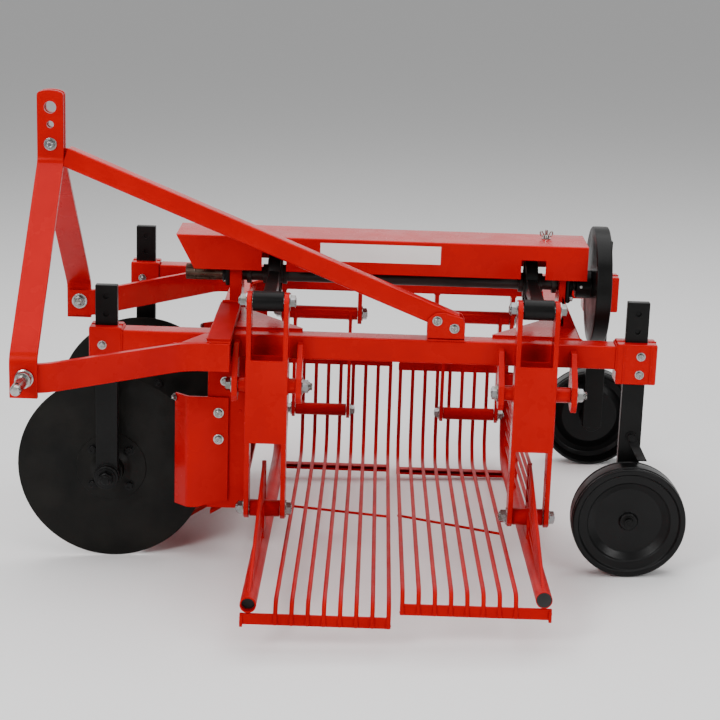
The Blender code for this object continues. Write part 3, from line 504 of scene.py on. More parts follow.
class Solid:
    """Closed shells, in machine coordinates, that make up one piece."""

    def __init__(self) -> None:
        """Start with nothing."""
        self.bm = bmesh.new()

    def take(self, part: bmesh.types.BMesh, bevel: float = 0.0, segments: int = 2, slot: int = 0) -> "Solid":
        """Round a shell's sharp edges and add it.

        Args:
            part: The shell; it is used up.
            bevel: Width of the rounding, or 0 for none.
            segments: Steps across the rounding.
            slot: Material index of its faces.

        Returns:
            This solid.
        """
        bmesh.ops.recalc_face_normals(part, faces=part.faces[:])
        if bevel > 0.0:
            sharp = [
                edge for edge in part.edges if len(edge.link_faces) == 2 and edge.calc_face_angle(0.0) > 0.55
            ]
            bmesh.ops.bevel(
                part,
                geom=sharp,
                offset=bevel,
                offset_type="OFFSET",
                segments=segments,
                profile=0.5,
                affect="EDGES",
                clamp_overlap=True,
                material=-1,
            )
        for face in part.faces:
            face.material_index = slot
        mesh = bpy.data.meshes.new("shell")
        part.to_mesh(mesh)
        part.free()
        self.bm.from_mesh(mesh)
        bpy.data.meshes.remove(mesh)
        return self

    def box(self, x0: float, x1: float, y0: float, y1: float, z0: float, z1: float, bevel: float = 0.001,
            segments: int = 2, slot: int = 0) -> "Solid":
        """Add a rounded box between two corners.

        Args:
            x0: One end along x.
            x1: The other end along x.
            y0: One end along y.
            y1: The other end along y.
            z0: One end along z.
            z1: The other end along z.
            bevel: Rounding of the edges.
            segments: Steps across the rounding.
            slot: Material index.

        Returns:
            This solid.
        """
        part = bmesh.new()
        bmesh.ops.create_cube(part, size=1.0)
        bmesh.ops.scale(part, vec=(abs(x1 - x0), abs(y1 - y0), abs(z1 - z0)), verts=part.verts)
        bmesh.ops.translate(part, vec=((x0 + x1) / 2, (y0 + y1) / 2, (z0 + z1) / 2), verts=part.verts)
        return self.take(part, bevel, segments, slot)

    def drum(self, start: Point, end: Point, radius: float, end_radius: Optional[float] = None, steps: int = 32,
             bevel: float = 0.0008, slot: int = 0) -> "Solid":
        """Add a capped cylinder or cone between two points.

        Args:
            start: Centre of the first end.
            end: Centre of the last end.
            radius: Radius of the first end.
            end_radius: Radius of the last end, where it differs.
            steps: Faces around.
            bevel: Rounding of the edges.
            slot: Material index.

        Returns:
            This solid.
        """
        first, last = Vector(start), Vector(end)
        axis = last - first
        part = bmesh.new()
        bmesh.ops.create_cone(
            part,
            cap_ends=True,
            segments=steps,
            radius1=radius,
            radius2=radius if end_radius is None else end_radius,
            depth=axis.length,
        )
        turn = axis.to_track_quat("Z", "Y").to_matrix().to_4x4()
        bmesh.ops.transform(part, matrix=Matrix.Translation((first + last) / 2) @ turn, verts=part.verts)
        return self.take(part, bevel, 2, slot)

    def prism(self, points: Sequence[Point], axis: Axis, low: float, high: float, bevel: float = 0.0008,
              holes: Sequence[tuple[Point, float]] = (), slot: int = 0) -> "Solid":
        """Add a flat outline pushed out along an axis, with round holes through it.

        Args:
            points: Outline corners in the two other axes, in x, y, z order.
            axis: Axis that it is pushed out along.
            low: Start along the axis.
            high: End along the axis.
            bevel: Rounding of the edges.
            holes: Hole centres in the outline's plane, each with its radius.
            slot: Material index.

        Returns:
            This solid.
        """

        def spot(pair: Point, along: float) -> tuple[float, float, float]:
            """Place a point of the outline.

            Args:
                pair: Its two coordinates in the outline's plane.
                along: Its place along the axis.

            Returns:
                Its three coordinates.
            """
            if axis is Axis.X:
                return (along, pair[0], pair[1])
            if axis is Axis.Y:
                return (pair[0], along, pair[1])
            return (pair[0], pair[1], along)

        part = bmesh.new()
        face = part.faces.new([part.verts.new(spot(point, low)) for point in points])
        grown = bmesh.ops.extrude_face_region(part, geom=[face])
        moved = [item for item in grown["geom"] if isinstance(item, bmesh.types.BMVert)]
        bmesh.ops.translate(part, vec=Vector(spot((0.0, 0.0), high - low)), verts=moved)
        if not holes:
            return self.take(part, bevel, 2, slot)
        plate = Solid().take(part, bevel, 2, slot)
        for centre, radius in holes:
            plate.bore(spot(centre, low - 0.01), spot(centre, high + 0.01), radius)
        return self.join(plate)

    def join(self, other: "Solid") -> "Solid":
        """Add another solid's shells.

        Args:
            other: The other solid; it is used up.

        Returns:
            This solid.
        """
        mesh = bpy.data.meshes.new("shell")
        other.bm.to_mesh(mesh)
        other.bm.free()
        self.bm.from_mesh(mesh)
        bpy.data.meshes.remove(mesh)
        return self

    def bore(self, start: Point, end: Point, radius: float, steps: int = 28) -> "Solid":
        """Cut a round hole through everything added so far."""
        return self.carve(Solid().drum(start, end, radius, steps=steps, bevel=0.0))

    def carve(self, tool: "Solid") -> "Solid":
        """Cut another solid out of this one.

        Args:
            tool: The solid to cut out; it is used up.

        Returns:
            This solid.
        """
        pair = []
        for source in (self, tool):
            mesh = bpy.data.meshes.new("boolean")
            source.bm.to_mesh(mesh)
            source.bm.free()
            item = bpy.data.objects.new("boolean", mesh)
            bpy.context.scene.collection.objects.link(item)
            pair.append(item)
        step = pair[0].modifiers.new("cut", "BOOLEAN")
        step.operation = "DIFFERENCE"
        step.solver = "EXACT"
        step.object = pair[1]
        graph = bpy.context.evaluated_depsgraph_get()
        mesh = bpy.data.meshes.new_from_object(pair[0].evaluated_get(graph), depsgraph=graph)
        self.bm = bmesh.new()
        self.bm.from_mesh(mesh)
        for item in pair:
            used = item.data
            bpy.data.objects.remove(item, do_unlink=True)
            bpy.data.meshes.remove(used)
        bpy.data.meshes.remove(mesh)
        return self

    def strip(self, centre: Sequence[Point], axis: Axis, low: float, high: float, thick: float,
              bend: float = 0.02, bevel: float = 0.001, slot: int = 0) -> "Solid":
        """Add a flat bar whose centre line bends in the plane across the axis.

        Args:
            centre: Corners of the centre line.
            axis: Axis that the bar is wide along.
            low: Start along the axis.
            high: End along the axis.
            thick: Thickness of the bar.
            bend: Length cut back from each corner to round it.
            bevel: Rounding of the edges.
            slot: Material index.

        Returns:
            This solid.
        """
        line = fillet(centre, bend, 5)
        left, right = [], []
        for index, here in enumerate(line):
            ways = []
            if index:
                ways.append((here - line[index - 1]).normalized())
            if index < len(line) - 1:
                ways.append((line[index + 1] - here).normalized())
            way = sum(ways, Vector((0.0, 0.0))).normalized()
            side = Vector((-way.y, way.x))
            stretch = thick / 2 / max(0.5, abs(side.dot(Vector((-ways[0].y, ways[0].x)))))
            left.append(here + side * stretch)
            right.append(here - side * stretch)
        return self.prism([tuple(point) for point in left + right[::-1]], axis, low, high, bevel, slot=slot)

    def sweep(self, points: Sequence[Point], radius: float, sides: int = 12, bend: float = 0.0,
              wobble: Optional[Callable[[float], float]] = None, inner: float = 0.0, slot: int = 0) -> "Solid":
        """Add a round bar, or a pipe, along a line of points.

        Args:
            points: Corners of the line.
            radius: Outer radius.
            sides: Faces around.
            bend: Length cut back from each corner to round it.
            wobble: Scale of the radius at a distance along the line, for weld beads.
            inner: Inner radius of a pipe, or 0 for a solid bar.
            slot: Material index.

        Returns:
            This solid.
        """
        line = fillet(points, bend, 5) if bend else [Vector(point) for point in points]
        ways = [(b - a).normalized() for a, b in zip(line, line[1:])]
        side = ways[0].orthogonal().normalized()
        part = bmesh.new()
        rings: list[list[list[bmesh.types.BMVert]]] = []
        walked = 0.0
        for index, here in enumerate(line):
            first = ways[max(index - 1, 0)]
            second = ways[min(index, len(ways) - 1)]
            way = (first + second).normalized()
            side = (side - way * side.dot(way)).normalized()
            other = way.cross(side)
            if index:
                walked += (here - line[index - 1]).length
            scale = wobble(walked) if wobble else 1.0
            walls = []
            for wall in (radius, inner) if inner else (radius,):
                ring = []
                for step in range(sides):
                    angle = 2 * math.pi * step / sides
                    out = side * math.cos(angle) + other * math.sin(angle)
                    ring.append(part.verts.new(here + out * wall * scale))
                walls.append(ring)
            rings.append(walls)
        for before, after in zip(rings, rings[1:]):
            for wall, (a, b) in enumerate(zip(before, after)):
                for step in range(sides):
                    on = (step + 1) % sides
                    loop = (a[step], a[on], b[on], b[step])
                    part.faces.new(loop if wall == 0 else loop[::-1])
        for walls, flip in ((rings[0], True), (rings[-1], False)):
            if inner:
                for step in range(sides):
                    on = (step + 1) % sides
                    loop = (walls[0][step], walls[0][on], walls[1][on], walls[1][step])
                    part.faces.new(loop[::-1] if flip else loop)
            else:
                part.faces.new(walls[0][::-1] if flip else walls[0])
        return self.take(part, 0.0, slot=slot)

    def lathe(self, profile: Sequence[Point], centre: Point, axis: Point, steps: int = 96, slot: int = 0) -> "Solid":
        """Add a body turned about an axis.

        Args:
            profile: Pairs of radius and distance along the axis; open at the axis or a closed ring.
            centre: Point that distances are counted from.
            axis: Direction of the axis.
            steps: Faces around.
            slot: Material index.

        Returns:
            This solid.
        """
        part = bmesh.new()
        verts = [part.verts.new((pair[0], 0.0, pair[1])) for pair in profile]
        edges = [part.edges.new(pair) for pair in zip(verts, verts[1:])]
        if profile[0][0] > 1e-6:
            edges.append(part.edges.new((verts[-1], verts[0])))
        bmesh.ops.spin(
            part,
            geom=verts + edges,
            cent=(0, 0, 0),
            axis=(0, 0, 1),
            angle=2 * math.pi,
            steps=steps,
            use_merge=True,
            use_duplicate=False,
        )
        bmesh.ops.remove_doubles(part, verts=part.verts, dist=1e-6)
        turn = Vector(axis).to_track_quat("Z", "Y").to_matrix().to_4x4()
        bmesh.ops.transform(part, matrix=Matrix.Translation(centre) @ turn, verts=part.verts)
        return self.take(part, 0.0, slot=slot)

    def hull(self, points: Iterable[Point], bevel: float = 0.001, slot: int = 0) -> "Solid":
        """Add the convex solid around a set of points.

        Args:
            points: The points.
            bevel: Rounding of the edges.
            slot: Material index.

        Returns:
            This solid.
        """
        part = bmesh.new()
        for point in points:
            part.verts.new(point)
        bmesh.ops.convex_hull(part, input=part.verts)
        bmesh.ops.dissolve_limit(part, angle_limit=0.002, verts=part.verts, edges=part.edges)
        return self.take(part, bevel, 2, slot)

    def weld(self, points: Sequence[Point], radius: float = 0.0026, slot: int = 0) -> "Solid":
        """Add a rippled weld bead along a line.

        Args:
            points: Corners of the line.
            radius: Radius of the bead.
            slot: Material index.

        Returns:
            This solid.
        """
        corners = [Vector(point) for point in points]
        line = [corners[0]]
        for start, end in zip(corners, corners[1:]):
            count = max(2, int((end - start).length / 0.0016))
            line += [start.lerp(end, step / count) for step in range(1, count + 1)]

        def ripple(walked: float) -> float:
            """Scale of the bead's radius at a distance along it."""
            return 0.86 + 0.20 * abs(math.sin(walked * 620.0)) + 0.06 * math.sin(walked * 97.0)

        return self.sweep(line, radius, 8, wobble=ripple, slot=slot)

    def washer(self, at: Point, way: Point, size: float, slot: int = 0) -> "Solid":
        """Add a flat washer that lies on a face.

        Args:
            at: Centre of the face.
            way: Direction that the face looks in.
            size: The bolt's diameter.
            slot: Material index.

        Returns:
            This solid.
        """
        return self.lathe(
            [
                (size * 0.54, 0.0),
                (size * 1.13, 0.0),
                (size * 1.15, 0.0004),
                (size * 1.15, size * 0.14),
                (size * 1.12, size * 0.16),
                (size * 0.54, size * 0.16),
            ],
            at,
            way,
            32,
            slot,
        )

    def hexagon(self, at: Point, way: Point, size: float, height: float, slot: int = 0) -> "Solid":
        """Add a chamfered hexagon that stands on a face.

        Args:
            at: Centre of the face.
            way: Direction that the face looks in.
            size: The bolt's diameter.
            height: Height of the hexagon.
            slot: Material index.

        Returns:
            This solid.
        """
        flat = size * 0.77
        corner = flat / math.cos(math.pi / 6)
        blank = Solid()
        axis = Vector(way).normalized()
        start = Vector(at)
        blank.drum(start, start + axis * height, corner, steps=6, bevel=0.0)
        cone = Solid().lathe(
            [
                (corner * 1.3, -0.001),
                (corner * 1.3, height + 0.001),
                (flat * 0.96, height + 0.001),
                (flat * 0.96, height),
                (corner * 1.02, height - (corner - flat * 0.96) * 0.6),
                (corner * 1.02, -0.001),
            ],
            at,
            way,
            24,
        )
        blank.carve(cone)
        for face in blank.bm.faces:
            face.material_index = slot
        return self.join(blank)

    def nut(self, at: Point, way: Point, size: float = 0.016, tail: float = 0.006) -> "Solid":
        """Add a washer, a lock nut and the end of its threaded bolt.

        Args:
            at: Centre of the face that the washer lies on.
            way: Direction that the bolt points in.
            size: The bolt's diameter.
            tail: Length of thread past the nut.

        Returns:
            This solid.
        """
        axis = Vector(way).normalized()
        start = Vector(at)
        self.washer(start, axis, size)
        base = start + axis * size * 0.16
        height = size * 0.72
        self.hexagon(base, axis, size, height, slot=1)
        self.drum(base + axis * height * 0.8, base + axis * (height + size * 0.16), size * 0.62, bevel=0.0007, slot=1)
        pitch = size * 0.11
        count = max(2, int((height + size * 0.16 + tail) / pitch))
        profile = [(0.0, 0.0)]
        for index in range(count):
            profile.append((size * 0.50, index * pitch))
            profile.append((size * 0.455, (index + 0.5) * pitch))
        profile += [(size * 0.40, count * pitch), (0.0, count * pitch)]
        return self.lathe(profile, base, axis, 20)

    def bolt(self, at: Point, way: Point, size: float = 0.016) -> "Solid":
        """Add a washer and a hexagon bolt head with its raised ring.

        Args:
            at: Centre of the face that the washer lies on.
            way: Direction that the head points in.
            size: The bolt's diameter.

        Returns:
            This solid.
        """
        axis = Vector(way).normalized()
        start = Vector(at)
        self.washer(start, axis, size)
        base = start + axis * size * 0.16
        self.hexagon(base, axis, size, size * 0.64, slot=1)
        top = size * 0.70
        ring = [(size * 0.34, 0.0), (size * 0.56, 0.0), (size * 0.55, top), (size * 0.50, top + size * 0.03),
                (size * 0.40, top + size * 0.03), (size * 0.34, top - size * 0.02)]
        return self.lathe(ring, base, axis, 28)


def sleeve_profile(bore: float, radius: float, half: float, chamfer: float = 0.001) -> list[tuple[float, float]]:
    """Outline a plain sleeve for the lathe.

    Args:
        bore: Inner radius.
        radius: Outer radius.
        half: Half of its length.
        chamfer: Size of the chamfers at its outer edges.

    Returns:
        Pairs of radius and distance along the axis.
    """
    rim = radius - chamfer
    return [(bore, -half), (rim, -half), (radius, chamfer - half), (radius, half - chamfer), (rim, half), (bore, half)]


@dataclass
class Kit:
    """Turns solids into pieces that ride on the frame and counts them."""

    made: int = 0
    triangles: int = 0

    def emit(
        self, name: str, solid: Solid, coats: Sequence[Coat], body: Body, stands_for: Sequence[str] = ()
    ) -> None:
        """Make one piece.

        Args:
            name: The piece's name.
            solid: Its shape in machine coordinates; it is used up.
            coats: Finishes, in material-index order.
            body: Body that it rides on.
            stands_for: CAD nodes that it replaces.
        """
        mesh = bpy.data.meshes.new(name)
        solid.bm.to_mesh(mesh)
        solid.bm.free()
        mesh.transform(STANCE)
        for coat in coats:
            mesh.materials.append(coat.material())
        mesh.shade_smooth()
        mesh.set_sharp_from_angle(angle=SMOOTH_ANGLE)
        piece = bpy.data.objects.new(name, mesh)
        bpy.context.scene.collection.objects.link(piece)
        weigh = piece.modifiers.new("weigh", "WEIGHTED_NORMAL")
        weigh.keep_sharp = True
        graph = bpy.context.evaluated_depsgraph_get()
        shaped = bpy.data.meshes.new_from_object(piece.evaluated_get(graph), depsgraph=graph)
        piece.modifiers.clear()
        piece.data = shaped
        bpy.data.meshes.remove(mesh)
        shaped.name = name
        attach(piece, body.value)
        if stands_for:
            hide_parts(*stands_for)
        count = sum(len(face.vertices) - 2 for face in shaped.polygons)
        self.made += 1
        self.triangles += count
        LOG.info("%-28s %7d triangles on %s", name, count, body.value)


# ---------------------------------------------------------------- frame


def hanger(solid: Solid, x0: float, thick: float, wall_y: float, pin_y: float, pin_z: float, top_z: float) -> None:
    """Add one plate that hangs from the near beam and holds a pivot bolt.

    Args:
        solid: Solid that takes the plate.
        x0: Its forward face.
        thick: Its thickness.
        wall_y: The beam's face.
        pin_y: The bolt's place across.
        pin_z: The bolt's height.
        top_z: The plate's upper end.
    """
    reach = 0.026
    outline = [
        (wall_y, top_z),
        (wall_y, pin_z - 0.012),
        (pin_y + 0.012, pin_z - 0.034),
        (pin_y - 0.014, pin_z - 0.034),
        (pin_y - reach, pin_z - 0.018),
        (pin_y - reach, pin_z + 0.020),
        (wall_y - 0.020, top_z),
    ]
    solid.prism(outline, Axis.X, x0, x0 + thick, 0.0012)
    for x in (x0, x0 + thick):
        solid.weld([(x, -0.001, 0.004), (x, -0.001, top_z - 0.002)])
    solid.weld([(x0, -0.001, top_z), (x0 + thick, -0.001, top_z)])


@dataclass
class Frame:
    """Two beams, the cross members between them and their gussets."""

    kit: Kit
    hanger_thick: float = 0.012
    link_hangers: tuple[tuple[float, float], ...] = ((-0.003, 0.007), (0.182, 0.192))
    gusset: tuple[float, float] = (0.138, 0.175)

    def near_beam(self) -> None:
        """Build the near beam with the rocker hangers and their bolts."""
        solid = Solid()
        solid.box(L.beam_front_x, L.beam_rear_x, 0.0, L.beam, 0.0, L.beam, 0.0045, 3)
        bolts = Solid()
        for low, high in (L.left_hangers, L.right_hangers):
            for x in (low, high):
                hanger(solid, x, self.hanger_thick, 0.002, L.rocker_y, L.pivot_z, 0.036)
            bolts.bolt((low, L.rocker_y, L.pivot_z), (-1, 0, 0), L.bolt)
            bolts.nut((high + self.hanger_thick, L.rocker_y, L.pivot_z), (1, 0, 0), L.bolt, 0.006)
            bolts.drum((low, L.rocker_y, L.pivot_z), (high + 0.01, L.rocker_y, L.pivot_z), L.shank_radius)
        for x in (L.beam_front_x, L.beam_rear_x):
            ring = [(x, 0.0, 0.0), (x, 0.0, L.beam), (x, L.beam, L.beam), (x, L.beam, 0.0), (x, 0.0, 0.0)]
            solid.weld(ring, 0.0024)
        self.kit.emit("near_beam_tube", solid, [RED], Body.MAIN, ["near_beam"])
        self.kit.emit("near_beam_bolts", bolts, PLATED, Body.MAIN)

    def far_beam(self) -> None:
        """Build the far beam with the link hangers and their bolts."""
        low = L.far_beam_y
        solid = Solid()
        solid.box(L.beam_front_x, L.beam_rear_x, low, low + L.beam, 0.0, L.beam, 0.0045, 3)
        bolts = Solid()
        for base, side in ((L.left_sieve_x, 1.0), (L.right_sieve_x, -1.0)):
            for start, end in self.link_hangers:
                x0, x1 = sorted((base + side * start, base + side * end))
                outline = [
                    (L.link_y - 0.022, 0.002),
                    (L.link_y - 0.022, L.link_top_z - 0.010),
                    (L.link_y - 0.010, L.link_top_z - 0.024),
                    (L.link_y + 0.010, L.link_top_z - 0.024),
                    (L.link_y + 0.022, L.link_top_z - 0.010),
                    (L.link_y + 0.022, 0.002),
                ]
                solid.prism(outline, Axis.X, x0, x1, 0.001)
                for x in (x0, x1):
                    solid.weld([(x, L.link_y - 0.021, -0.001), (x, L.link_y + 0.021, -0.001)])
            bolts.nut((base - side * 0.003, L.link_y, L.link_top_z), (-side, 0, 0), L.bolt, 0.004)
            bolts.bolt((base + side * 0.192, L.link_y, L.link_top_z), (side, 0, 0), L.bolt)
            bolts.drum((base, L.link_y, L.link_top_z), (base + side * 0.19, L.link_y, L.link_top_z), L.shank_radius)
        self.kit.emit("far_beam_tube", solid, [RED], Body.MAIN, ["far_beam"])
        self.kit.emit("far_beam_bolts", bolts, PLATED, Body.MAIN)

    def cross_members(self) -> None:
        """Build both cross members with the corner gussets at the near beam."""
        for name, x, side in (("front", L.cross_front_x, 1.0), ("rear", L.cross_rear_x, -1.0)):
            solid = Solid()
            low, high = L.beam + L.fit, L.far_beam_y - L.fit
            solid.box(x, x + L.cross_width, low, high, 0.0, L.beam, 0.0045, 3)
            edge = x + L.cross_width if side > 0 else x
            reach, span = self.gusset
            for y, turn in ((L.beam, 1.0), (L.far_beam_y, -1.0)):
                corner = [
                    (edge - side * 0.004, y - turn * 0.004),
                    (edge + side * reach, y - turn * 0.004),
                    (edge + side * reach, y + turn * 0.002),
                    (edge + side * 0.002, y + turn * span),
                    (edge - side * 0.004, y + turn * span),
                ]
                solid.prism(corner, Axis.Z, L.beam - 0.001, L.beam + 0.005, 0.0008)
                solid.weld([(edge, y + turn * 0.006, L.beam + 0.002), (edge, y + turn * span, L.beam + 0.002)], 0.002)
            for y in (low, high):
                for z in (0.0, L.beam):
                    solid.weld([(x, y, z), (x + L.cross_width, y, z)])
                for spot in (x, x + L.cross_width):
                    solid.weld([(spot, y, 0.0), (spot, y, L.beam)])
            self.kit.emit(name + "_cross_tube", solid, [RED], Body.MAIN, [name + "_cross_member"])

    def build(self) -> None:
        """Build every piece of the frame."""
        self.near_beam()
        self.far_beam()
        self.cross_members()


# ---------------------------------------------------------------- hitch


@dataclass
class Hitch:
    """Lower pins, arms, mast, strut and the strut's bracket."""

    kit: Kit
    leg_width: float = 0.054
    leg_thick: float = 0.010
    mast_top: float = 0.540
    arm_low: float = -0.008
    arm_high: float = 0.050
    arm_thick: float = 0.012
    bracket: tuple[float, float] = (0.936, 1.014)
    cheek_thick: float = 0.0058

    def arms(self) -> None:
        """Build the slanting flat arms and the closed box on the near beam."""
        near = Solid()
        start = L.hitch_near_y + self.leg_thick + L.fit + 0.006
        line = [(L.pin_x - 0.025, start), (L.pin_x + 0.032, start), (0.445, -0.084), (0.533, -0.084)]
        near.strip(line, Axis.Z, self.arm_low, self.arm_high, self.arm_thick, 0.035)
        near.box(0.488, 0.532, -0.084, -0.0003, self.arm_low + 0.002, self.arm_high - 0.001, 0.0015)
        near.prism([(0.430, -0.088), (0.532, -0.086), (0.532, -0.001), (0.474, -0.001)], Axis.Z, 0.044, 0.0497, 0.001)
        near.weld([(0.532, -0.088, 0.049), (0.532, -0.002, 0.049)], 0.002)
        near.weld([(0.488, -0.002, 0.049), (0.532, -0.002, 0.0492)], 0.002)
        near.weld([(0.418, -0.0900, 0.049), (0.532, -0.0775, 0.049)], 0.0018)
        self.kit.emit("near_arm_bar", near, [RED], Body.MAIN, ["near_hitch_arm"])
        far = Solid()
        start = L.hitch_far_y - self.leg_thick - L.fit - 0.006
        wall = L.far_beam_y - L.fit - 0.006
        line = [(L.pin_x - 0.025, start), (L.pin_x + 0.032, start), (0.440, wall), (0.484, wall)]
        far.strip(line, Axis.Z, self.arm_low, self.arm_high, self.arm_thick, 0.030)
        far.weld([(0.452, wall + 0.005, self.arm_high), (0.482, wall + 0.005, self.arm_high)], 0.002)
        self.kit.emit("far_arm_bar", far, [RED], Body.MAIN, ["far_hitch_arm"])

    def mast(self) -> None:
        """Build both mast legs with their rounded tops and holes, and the bolts through them."""
        x0 = L.pin_x - 0.030
        mid = x0 + self.leg_width / 2
        for name, foot, side in ((Side.NEAR, L.hitch_near_y, 1.0), (Side.FAR, L.hitch_far_y, -1.0)):
            top = L.hitch_mid_y - side * 0.010
            low = foot + side * self.leg_thick / 2
            cap = self.mast_top - self.leg_width / 2
            leg = Solid()
            line = [(low, -0.016), (low, 0.062), (top, 0.395), (top, 0.43)]
            leg.strip(line, Axis.X, x0, x0 + self.leg_width, self.leg_thick, 0.014)
            half = self.leg_width / 2
            arc = [(mid + a * half, cap + half * b) for a, b in
                   ((1.0, 0.58), (0.97, 0.72), (0.86, 0.84), (0.60, 0.94), (0.30, 0.985), (0.0, 1.0),
                    (-0.30, 0.985), (-0.60, 0.94), (-0.86, 0.84), (-0.97, 0.72), (-1.0, 0.58))]
            outline = [(x0 + self.leg_width, 0.428)] + arc + [(x0, 0.428)]
            holes = (((mid, 0.505), 0.0127), ((mid, 0.470), 0.0075))
            leg.prism(outline, Axis.Y, top - self.leg_thick / 2, top + self.leg_thick / 2, 0.001, holes=holes)
            self.kit.emit(name + "_mast_bar", leg, [RED], Body.MAIN, [name + "_mast_leg"])
        bolts = Solid()
        bolts.bolt((mid, L.hitch_mid_y - 0.015, 0.430), (0, -1, 0), 0.0115)
        bolts.nut((mid, L.hitch_mid_y + 0.015, 0.430), (0, 1, 0), 0.0115)
        self.kit.emit("mast_bolts", bolts, PLATED, Body.MAIN)

    def pins(self) -> None:
        """Build both lower pins with collar, spring-pin hole and thread end."""
        for name, y, side in ((Side.NEAR, L.hitch_near_y, -1.0), (Side.FAR, L.hitch_far_y, 1.0)):
            pin = Solid()
            profile = [
                (0.0, 0.0),
                (0.0175, 0.0),
                (0.0180, 0.0005),
                (0.0180, 0.0055),
                (0.0160, 0.0065),
                (0.0160, 0.021),
                (0.0155, 0.022),
                (0.0112, 0.0225),
                (0.0110, 0.024),
                (0.0110, 0.0885),
                (0.0104, 0.0915),
                (0.0080, 0.0946),
                (0.0077, 0.0949),
                (0.0, 0.0949),
            ]
            pin.lathe(profile, (L.pin_x, y + side * L.fit, L.pin_z), (0, side, 0), 48)
            pin.bore((L.pin_x, y + side * 0.079, L.pin_z - 0.03), (L.pin_x, y + side * 0.079, L.pin_z + 0.03), 0.0045)
            self.kit.emit(name + "_pin_turned", pin, PLATED, Body.MAIN, [name + "_lower_pin"])
            inner = L.hitch_near_y + 0.0223 if side < 0 else L.hitch_far_y - 0.0223
            back = Solid().nut((L.pin_x, inner, L.pin_z), (0, -side, 0), 0.0150, 0.004)
            self.kit.emit(name + "_pin_nut", back, PLATED, Body.MAIN)

    def strut(self) -> None:
        """Build the sloping strut, its tongue and its bracket with two bolts."""
        head = Vector((L.pin_x + 0.026, L.hitch_mid_y, 0.4055))
        foot = Vector((1.004, 0.025, 0.080))
        way = (foot - head).normalized()
        up = Vector((0, 1, 0)).cross(way).normalized()
        up = up if up.z > 0 else -up
        corners = []
        for spot, half in ((head, 0.0200), (foot, 0.0165)):
            for a in (-1, 1):
                for b in (-1, 1):
                    corners.append(spot + Vector((0, 1, 0)) * a * half + up * b * 0.020)
        tube = Solid().hull(corners, 0.0040)
        tube.carve(Solid().box(0.0, 2.0, -0.2, 0.3, -0.2, L.beam + 0.0066, 0.0))
        tube.carve(Solid().box(0.0, L.pin_x + 0.0245, -0.2, 0.3, 0.0, 0.6, 0.0))
        tube.carve(Solid().box(1.002, 2.0, -0.2, 0.3, 0.0, 0.6, 0.0))
        tube.box(L.pin_x - 0.024, L.pin_x + 0.034, L.hitch_mid_y - 0.0046, L.hitch_mid_y + 0.0046, 0.388, 0.421)
        self.kit.emit("strut_tube", tube, [RED], Body.MAIN, ["top_strut"])
        bracket = Solid()
        x0, x1 = self.bracket
        cheek = [(x0, L.beam), (x1, L.beam), (x1, 0.088), (1.008, 0.099), (0.970, 0.109), (0.950, 0.107), (x0, 0.094)]
        for y in (0.0006, 0.0436):
            bracket.prism(cheek, Axis.Y, y, y + self.cheek_thick, 0.0012)
        bracket.box(x0, x1, 0.0006, 0.0494, L.beam, L.beam + 0.006, 0.001)
        for y in (0.0, L.beam):
            bracket.weld([(x0, y, L.beam + 0.001), (x1, y, L.beam + 0.001)], 0.0022)
        self.kit.emit("strut_bracket_plate", bracket, [RED], Body.MAIN, ["strut_bracket"])
        bolts = Solid()
        for x, z in ((0.956, 0.092), (0.992, 0.077)):
            bolts.bolt((x, 0.0006, z), (0, -1, 0), 0.0090)
            bolts.nut((x, 0.0494, z), (0, 1, 0), 0.0090, 0.003)
        self.kit.emit("strut_bolts", bolts, PLATED, Body.MAIN)

    def build(self) -> None:
        """Build every piece of the hitch."""
        self.arms()
        self.mast()
        self.pins()
        self.strut()


# ---------------------------------------------------------------- drive line


